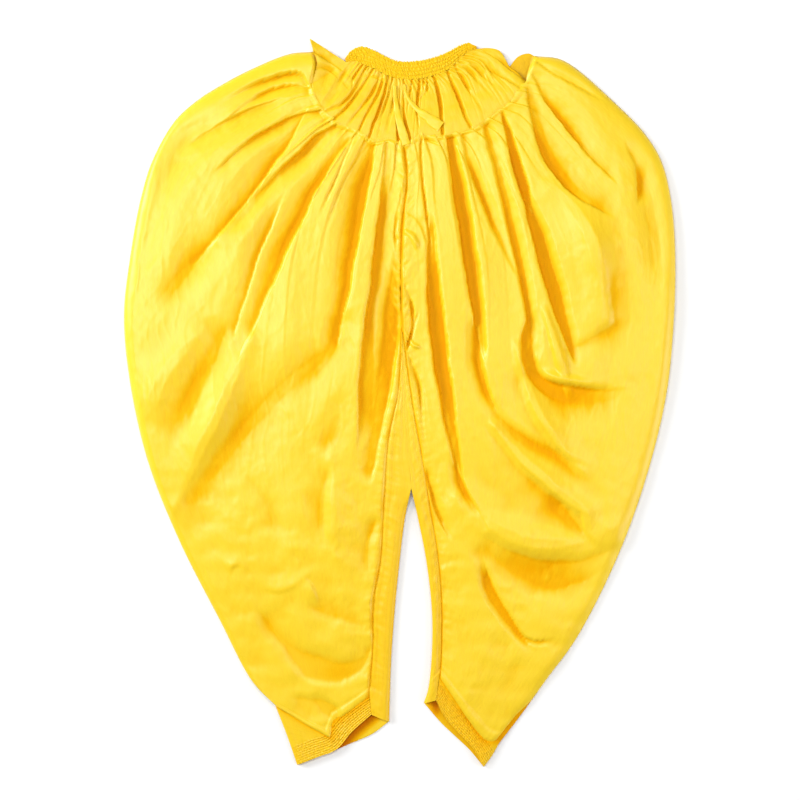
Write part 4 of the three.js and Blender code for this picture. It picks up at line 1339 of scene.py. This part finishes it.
    def _front(self) -> Surface:
        """Lays the pleated front.

        Returns:
            Its surface without the turned-in edge.
        """
        u, v = np.linspace(0, 1, self.columns + 1), np.linspace(0, 1, self.rows + 1) ** 1.12
        plan, across, down = Plan(self.top, self.puff, self.front_inner, self.outer).net(u, v)
        height, valleys = self.front_height(across, down, plan)
        surface = Surface.raised(u, v, plan, height)
        self._lap(u, surface.points)
        laid = surface.tucked(Side.OUTER, -1.0, (0.35, 0.7), 5.0)
        # Painted shade: amber in the folds, less on banks facing the key light and more on banks turned away from it.
        keep = 1 - 0.6 * ease(down, 0.34, 0.1) * ease(across, 0.2, 0.2)
        keep = keep * (1 - 0.55 * ease(across, self.fold_shade_reach, 0.2))
        deep = np.pad(np.clip(valleys / 7.0, 0, 1) ** 1.5 * keep, ((0, 0), (0, 2)), mode="edge")
        facing = turned_to_key(laid.points)
        shade = (fold_shade(laid.points[..., 2], 5, 2.6, 18, 5.5) + 0.56 * deep) * (1 - 0.65 * np.maximum(0, facing))
        shade = shade + 0.18 * np.maximum(0, -facing)
        inland, from_seam = apart(laid.points, plan[:, -1:]), apart(laid.points, plan[:, :1])
        # A dark painted strip where the cuff's side shows, and no painted shade near the rolled outer edge.
        shade = np.where(inland < self.side_shown(laid.v[:, None]), 1.15, shade * ease(inland / SHOULDER))
        # Painted shade along the inside seam: full at it and patchy beside it.
        drawn = np.clip(0.5 + 0.9 * self.grain[4].over(laid.points, 14, 26), 0, 1)
        shade = np.maximum(shade, 0.75 * (1 - ease(from_seam / 3.5))) + 0.5 * drawn * (1 - ease(from_seam / 11))
        laid.painted_shade = np.clip(shade, 0, 1.15)
        self._cloth("leg_front", laid)
        return surface

    def _back(self) -> None:
        """Lays the back flat on the ground, a little inside the front's folded edge."""
        inner = CENTRE.then(CROTCH_LINE.then(self.inner.between(0.0, self.cuff_corner), CROTCH_SHARE), 0.3)
        u, v = np.linspace(0, 1, 91), np.linspace(0, 1, 151)
        bottom = Edge.straight(inner.at(1.0), self.outer.at(1.0))
        plan, across, _ = Plan(self.top, bottom, inner, self.outer).net(u, v)
        sunk = 0.35 * self.grain[1].over(plan, 60, 130)
        sunk = sunk + 0.3 * self.grain[2].creases(plan[..., 0] / 40, plan[..., 1] / 70)
        inwards = np.sign(plan[:, :1, 0] - plan[:, -1:, 0])
        plan[..., 0] += 3.0 * bump((1 - across) * BACK_WIDTH, 12.0) * inwards
        self._cloth("leg_back", Surface.raised(u, v, plan, np.clip(BACK_TOP - 0.35 - sunk, 0.3, BACK_TOP)))

    def _strip(self, front: Surface) -> Surface:
        """Lays the gusset strip between the inside seam and the free inside edge.

        Args:
            front: the front's surface, which the strip is sewn to.

        Returns:
            Its surface.
        """
        head, free_head = self.inseam.share_at(STRIP_HEAD), CROTCH_LINE.share_at(STRIP_HEAD)
        u, v = np.linspace(0, 1, 37), np.linspace(0, 1, 301)
        plan, across, down = Plan(
            Edge.straight(self.inseam.at(head), CROTCH_LINE.at(free_head)),
            Edge.straight(self.mouth.at(0.0), self.inner.at(1.0)),
            self.inseam.between(head, 1.0).then(self.mouth_side, STRIP_SHARE),
            CROTCH_LINE.between(free_head, 1.0).then(self.inner, CROTCH_SHARE),
        ).net(u, v)
        along = mix(CENTRE_SHARE, 1.0, mix(head, 1.0, np.minimum(1.0, v / STRIP_SHARE)))
        seam = front.at(np.zeros_like(along), along)[:, 2]
        past = np.clip((v - STRIP_SHARE) / (1 - STRIP_SHARE), 0, 1)
        seam = mix(seam, MOUTH_RISE - 1.0, past)[:, None] + SEAM_GROOVE * 0.3
        met = mix(seam, CROTCH_RISE, ease(down / CROTCH_SHARE))
        length = STRIP_LENGTH * down
        pucker = self.grain[3].at(length / 8, across * 2.2) * 0.7
        pucker = pucker + self.grain[4].at(length / 17, 4 + across * 1.5) * 0.9
        height = mix(seam, met, across) + pucker * (0.2 + 0.55 * bump(across - 0.3, 0.5))
        height += SEAM_GROOVE * 0.7 * (1 - bump(across * STRIP_WIDTH, SEAM_REACH))
        height += 0.22 * np.cos(2 * np.pi * (across * 2.1 + 0.4 * self.grain[5].at(length / 60, across)))
        roll = roll_off((1 - across) * STRIP_WIDTH + 0.2, STRIP_WIDTH / 2)
        height = 1.0 + (height - 1.0) * mix(1.0, roll, ease(down, CROTCH_SHARE, 0.08))
        surface = Surface.raised(u, v, plan, np.maximum(1.0, height))
        laid = surface.tucked(Side.INNER, 1.0, (1.6,), 2.0)
        # Painted shade: more amber the lower the strip lies.
        laid.painted_shade = np.clip(0.08 + 0.6 * (1 - laid.points[..., 2] / 12), 0.1, 1)
        self._cloth("inside_strip", laid)
        return surface

    def _cuff(self) -> Surface:
        """Lays the cuff's front, with its rows of stitching and its open mouth.

        Returns:
            Its surface.
        """
        u, v = np.linspace(0, 1, 211), np.linspace(0, 1, 73)
        plan, across, down = Plan(self.puff, self.mouth, self.mouth_side, self.cuff_end).net(u, v)
        from_mouth, from_top = apart(plan, plan[-1]), apart(plan, plan[0])
        sewn = 1 - ease((from_mouth - self.sewn_hem) / 4)
        grooves = np.cos(2 * np.pi * from_mouth / self.row_gap) * sewn
        ripple = self.grain[5].at(across * 14, down * 2) * 0.5
        ripple = ripple + self.grain[6].at(across * 62, from_mouth / 4) * 0.9 * sewn
        height = mix(HEM_RISE - 1.6, MOUTH_RISE, down) + 0.5 * grooves + ripple
        to_outer = apart(plan, self.cuff_end.at(v)[:, None])
        height = SIDE_FOOT + (height - SIDE_FOOT) * roll_off(to_outer + 0.3, 9.0)
        surface = Surface.raised(u, v, plan, height)
        laid = surface.tucked(Side.BOTTOM, -1.0, (0.8, 1.9), 2.4).tucked(Side.TOP, 1.0, (0.6,), 3.0)
        # Painted shade: amber over the band and more over its sewn hem, deeper in the grooves between stitching rows,
        # and a painted shadow under the leg's rim.
        shade = self.cuff_shade * (1 + sewn) - (0.12 + 0.5 * self.cuff_shade) * grooves + 0.8 * np.exp(-from_top / 6.0)
        laid.painted_shade = np.clip(np.pad(shade, ((1, 2), (0, 0)), mode="edge"), 0, 1.1)
        self._cloth("cuff_front", laid)
        return surface

    def _cuff_back(self) -> None:
        """Lays the cuff's back flat on the ground."""
        seam = Edge.straight(self.inner.at(self.cuff_corner), self.outer.at(1.0))
        u, v = np.linspace(0, 1, 101), np.linspace(0, 1, 61)
        plan, across, down = Plan(seam, self.hem, self.inner.between(self.cuff_corner, 1.0), self.cuff_end).net(u, v)
        height = BACK_TOP - 0.2 + 0.15 * np.cos(2 * np.pi * apart(plan, plan[-1]) / self.row_gap)
        height += 0.1 * self.grain[2].at(across * 9, down * 4)
        # Painted shade of the opening: darkest at the mouth, deep brown past 1, and weaker past the mouth's shaded
        # share.
        to_mouth = apart(plan[:, :, None], self.mouth.at(np.linspace(0, 1, 60))).min(axis=-1)
        gape_shade = 1 - ease(across, self.mouth_shade_share, 0.15)
        shade = np.clip(2.9 - to_mouth / 6.0, 0.12, 2.0) * mix(0.3, 1.0, gape_shade)
        self._cloth("cuff_back", Surface.raised(u, v, plan, height, shade), wall=0.5)


@dataclass
class TapeEnd:
    """One free end of the flat drawstring, lying over the yoke."""

    tailor: Tailor
    hand: Hand
    route: Run
    widths: tuple[float, ...]
    lift: float  # how far its middle is above the cloth's crests
    seed: int
    thick: float = 1.1
    rings: int = 64
    uv_length: float = 0.09

    # Half of its section from the top down, as shares of its half width and half thickness, round at the side.
    SECTION = ((0.0, 1.0), (0.35, 0.82), (0.7, 0.9), (0.93, 0.75), (1.0, 0.2), (1.0, -0.2), (0.93, -0.75),
               (0.7, -0.9), (0.35, -0.82), (0.0, -1.0))

    def build(self, yoke: Surface) -> None:
        """Lays the tape along its route on the cloth.

        Args:
            yoke: the yoke's front, which it lies on.
        """
        name = f"drawstring_{self.hand.value}"
        share = np.linspace(0, 1, self.rings)
        middle = Edge.through(self.route).at(share)
        path = np.concatenate([middle, (self._crests(yoke, middle) + self.lift + self.thick / 2)[:, None]], axis=1)
        along = np.gradient(path[:, :2], axis=0)
        along /= np.hypot(along[:, 0], along[:, 1])[:, None]
        sideways = np.stack([along[:, 1], -along[:, 0]], axis=-1)
        crumple = Grain(self.seed)
        width = np.interp(share, np.linspace(0, 1, len(self.widths)), self.widths)
        width *= 1 + 0.16 * crumple.at(share * 9, np.zeros_like(share))
        section = [*self.SECTION, *((-across, up) for across, up in reversed(self.SECTION[1:-1]))]
        points = np.empty((self.rings, len(section), 3))
        for k, (across, up) in enumerate(section):
            points[:, k, :2] = path[:, :2] + sideways * (across * width / 2)[:, None]
            creases = 0.9 * crumple.at(share * 7, np.full_like(share, 3 + across)) * min(1.0, abs(across) * 2)
            points[:, k, 2] = path[:, 2] + up * self.thick / 2 + creases - 0.5 * across * across
        index = np.arange(self.rings * len(section)).reshape(self.rings, -1)
        turned = np.roll(index, -1, axis=1)
        sides = np.stack([index[:-1], turned[:-1], turned[1:], index[1:]], axis=-1).reshape(-1, 4)
        caps = [
            (ring[k], ring[k + 1], ring[-k - 2], ring[-k - 1])
            for ring in (index[0], index[-1][::-1])
            for k in range(len(section) // 2 - 1)
        ]
        faces = np.concatenate([sides, np.array(caps)])
        tape = self.tailor.mesh(f"{name}_tape", points.reshape(-1, 3), faces, Finish.TAPE)
        across_tape = np.array([across * TAPE_WIDTH / 2 * MM for across, _ in section])
        self.tailor.weave(tape, across_tape, share * self.uv_length)
        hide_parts(f"{name}_end")
        line = self.tailor.row.metres(path)

    def _crests(self, yoke: Surface, middle: Array) -> Array:
        """The highest cloth under each point of the tape, smoothed along it.

        Args:
            yoke: the cloth.
            middle: plan points of the tape.

        Returns:
            One height a point.
        """
        cloth = yoke.points[::3, ::3].reshape(-1, 3)
        near = apart(cloth[None], middle[:, None]) < TAPE_WIDTH / 2
        top = [cloth[row, 2].max() if row.any() else WAIST_RISE for row in near]
        kernel = np.hanning(15)[1:-1]
        return np.convolve(np.pad(np.array(top), 6, mode="edge"), kernel / kernel.sum(), mode="valid")


@dataclass
class Stitching:
    """Sewing that shows: small thread bars sunk into the cloth along its seams and hems."""

    tailor: Tailor
    length: float = 2.1
    gap: float = 1.0
    width: float = 0.36

    # Along a stitch: the share of its length, of its radius, and how far it stands over the line.
    SHAPE = np.array([(0.0, 0.35, -0.16), (0.25, 1.0, 0.05), (0.75, 1.0, 0.05), (1.0, 0.35, -0.16)])

    def run(self, line: Array) -> tuple[Array, Array]:
        """Places stitches along a line.

        Args:
            line: points of the line in millimetres.

        Returns:
            Points and four-sided faces of all its stitches.
        """
        share = np.concatenate([[0.0], np.cumsum(np.linalg.norm(np.diff(line, axis=0), axis=1))])
        pitch = self.length + self.gap
        starts = np.arange(0.4, share[-1] - pitch, pitch)
        along, radius, lift = self.SHAPE.T
        places = starts[:, None] + (along * self.length)[None]
        centre = np.stack([np.interp(places, share, line[:, k]) for k in range(3)], axis=-1)
        heading = centre[:, -1] - centre[:, 0]
        heading /= np.linalg.norm(heading, axis=1)[:, None]
        side = np.cross(heading, np.array([0.0, 0.0, 1.0]))
        side /= np.linalg.norm(side, axis=1)[:, None]
        turns = (np.arange(6) * np.pi / 3)[:, None]
        ring = np.cos(turns) * side[:, None] + np.sin(turns) * np.cross(side, heading)[:, None]
        points = centre[:, :, None] + ring[:, None] * (radius * self.width / 2)[None, :, None, None]
        points[..., 2] += lift[None, :, None] + 0.02
        index = np.arange(points[..., 0].size).reshape(points.shape[:3])
        turned = np.roll(index, -1, axis=2)
        faces = np.stack([index[:, :-1], index[:, 1:], turned[:, 1:], turned[:, :-1]], axis=-1).reshape(-1, 4)
        return points.reshape(-1, 3), faces

    def sew(self, name: str, lines: Sequence[Array]) -> None:
        """Sews several lines as one piece.

        Args:
            name: the piece's name, before "stitching".
            lines: their points in millimetres.
        """
        points, faces, count = [], [], 0
        for some_points, some_faces in map(self.run, lines):
            points.append(some_points)
            faces.append(some_faces + count)
            count += len(some_points)
        name = f"{name}_stitching"
        self.tailor.mesh(name, np.concatenate(points), np.concatenate(faces), Finish.THREAD)
        log.info("%s: %d faces", name, sum(map(len, faces)))

    def build(self, waist: Surface, rows: Sequence[float], yoke: Surface, legs: dict[Hand, dict[str, Surface]]) -> None:
        """Sews the band, the yoke's seam, the inside seams and the cuffs.

        Args:
            waist: the casing's front.
            rows: shares down the casing at which it is sewn.
            yoke: the yoke's front.
            legs: the surfaces of each leg, by name.
        """
        across = lambda surface, u, v: surface.at(u, np.full_like(u, v))
        down = lambda surface, u, v: surface.at(np.full_like(v, u), v)
        self.sew("waistband", [across(waist, np.linspace(0.004, 0.996, 420), row) for row in rows])
        self.sew("yoke", [across(yoke, np.linspace(FLAP_SHARE, 0.995, 420), 0.955)])
        for hand, leg in legs.items():
            seam = down(leg["front"], 0.012, np.linspace(0.01, 0.965, 700))
            strip = [down(leg["strip"], u, np.linspace(start, 0.97, 500)) for u, start in ((0.22, 0.12), (0.62, 0.45))]
            self.sew(f"{hand.value}_inseam", [seam, *strip])
            along_cuff = np.linspace(0.02, 0.97, 220)
            self.sew(f"{hand.value}_cuff", [across(leg["cuff"], along_cuff, row) for row in np.arange(1, 9) / 9])


@dataclass
class Studio:
    """The pale floor, the soft lights and the camera straight above."""

    row: Row
    photo_centre: tuple[float, float] = (1.4, 4.2)  # the photograph's middle on the plan
    photo_width: float = 1120.0  # millimetres of plan across the photograph
    camera_height: float = 2.6
    sensor: float = 36.0
    floor_half: float = 4.0
    floor_drop: float = 0.0004
    world_light: float = 0.22

    # Soft boxes that face the garment: place and side in metres, power in watts.
    LIGHTS = {
        "key_from_left": ((-3.5, 1.5, 1.7), 1.6, 142.0),
        "fill_from_right": ((3.2, -0.6, 1.3), 1.8, 53.0),
        "sheen_box_left": ((-0.95, 0.4, 2.3), 0.7, 20.0),
        "sheen_box_right": ((1.0, 0.05, 2.3), 0.6, 8.5),
        "sheen_box_above": ((0.05, 0.75, 2.3), 0.45, 7.0),
    }

    def build(self) -> None:
        """Sets up everything round the garment."""
        self._floor()
        self._camera()
        for name, (place, size, power) in self.LIGHTS.items():
            data = bpy.data.lights.new(name, "AREA")
            data.shape, data.size, data.size_y, data.energy = "RECTANGLE", size, size, power
            lamp = self._hang(name, data, place)
            lamp.rotation_euler = (-Vector(place)).to_track_quat("-Z", "Y").to_euler()
        world = bpy.data.worlds.new("studio_air")
        world.use_nodes = True
        world.node_tree.nodes["Background"].inputs["Color"].default_value = (1.0, 1.0, 1.0, 1.0)
        world.node_tree.nodes["Background"].inputs["Strength"].default_value = self.world_light
        bpy.context.scene.world = world
        bpy.context.scene.view_settings.view_transform = "Standard"

    def _hang(self, name: str, data: bpy.types.ID, place: tuple[float, float, float]) -> bpy.types.Object:
        """Puts an object at a place in metres.

        Args:
            name: its name.
            data: its mesh, camera or light.
            place: where it goes.

        Returns:
            The object.
        """
        made = bpy.data.objects.new(name, data)
        made.location = place
        bpy.context.scene.collection.objects.link(made)
        return made

    def _floor(self) -> None:
        """Lays the floor just under the garment."""
        data = bpy.data.meshes.new("floor")
        half, height = self.floor_half, -self.floor_drop
        corners = [(-half, -half, height), (half, -half, height), (half, half, height), (-half, half, height)]
        data.from_pydata(corners, [], [(0, 1, 2, 3)])
        data.materials.append(Backdrop().material())
        self._hang("floor", data, (0.0, 0.0, 0.0))

    def _camera(self) -> None:
        """Hangs the camera over the photograph's middle."""
        data = bpy.data.cameras.new("camera")
        data.sensor_width = self.sensor
        data.lens = self.sensor * self.camera_height / (self.photo_width * MM)
        x, y = (np.array(self.photo_centre) - self.row.middle[:2]) * MM
        bpy.context.scene.camera = self._hang("camera", data, (x, y, self.camera_height + 0.01))


def main() -> None:
    """Builds the garment from the waist down, then the sewing and the studio."""
    logging.basicConfig(level=logging.INFO, format="%(name)s: %(message)s", stream=sys.stdout)
    row = Row(LEFT_CUT["outer"], RIGHT_CUT["outer"])
    Studio(row).build()
    tailor = Tailor(row)
    yoke = Yoke(tailor)
    yoke_front = yoke.build()
    left_route = [(-6, 446), (-5, 424), (1, 393), (10, 361)]
    TapeEnd(tailor, Hand.LEFT, left_route, (4.0, 5.0, 7.0, 10.0, 12.0, 12.5), lift=0.2, seed=51).build(yoke_front)
    right_route = [(7, 447), (10, 433), (18, 419), (33, 405), (58, 386)]
    TapeEnd(tailor, Hand.RIGHT, right_route, (3.5, 4.5, 6.0, 9.0, 15.0, 16.5), lift=0.3, seed=52).build(yoke_front)
    band = Waistband(tailor)
    waist_front = band.build()
    right_looks = {"mouth_shade_share": 0.14, "side_turn": 7.0, "cuff_shade": 0.17, "fold_shade_reach": 0.56}
    legs = {
        Hand.LEFT: Leg(tailor, yoke, Hand.LEFT, LEFT_FOLDS, 100, **LEFT_CUT).build(),
        Hand.RIGHT: Leg(tailor, yoke, Hand.RIGHT, RIGHT_FOLDS, 200, **RIGHT_CUT, **right_looks).build(),
    }
    Stitching(tailor).build(waist_front, band.stitch_rows, yoke_front, legs)


if __name__ == "__main__":
    main()
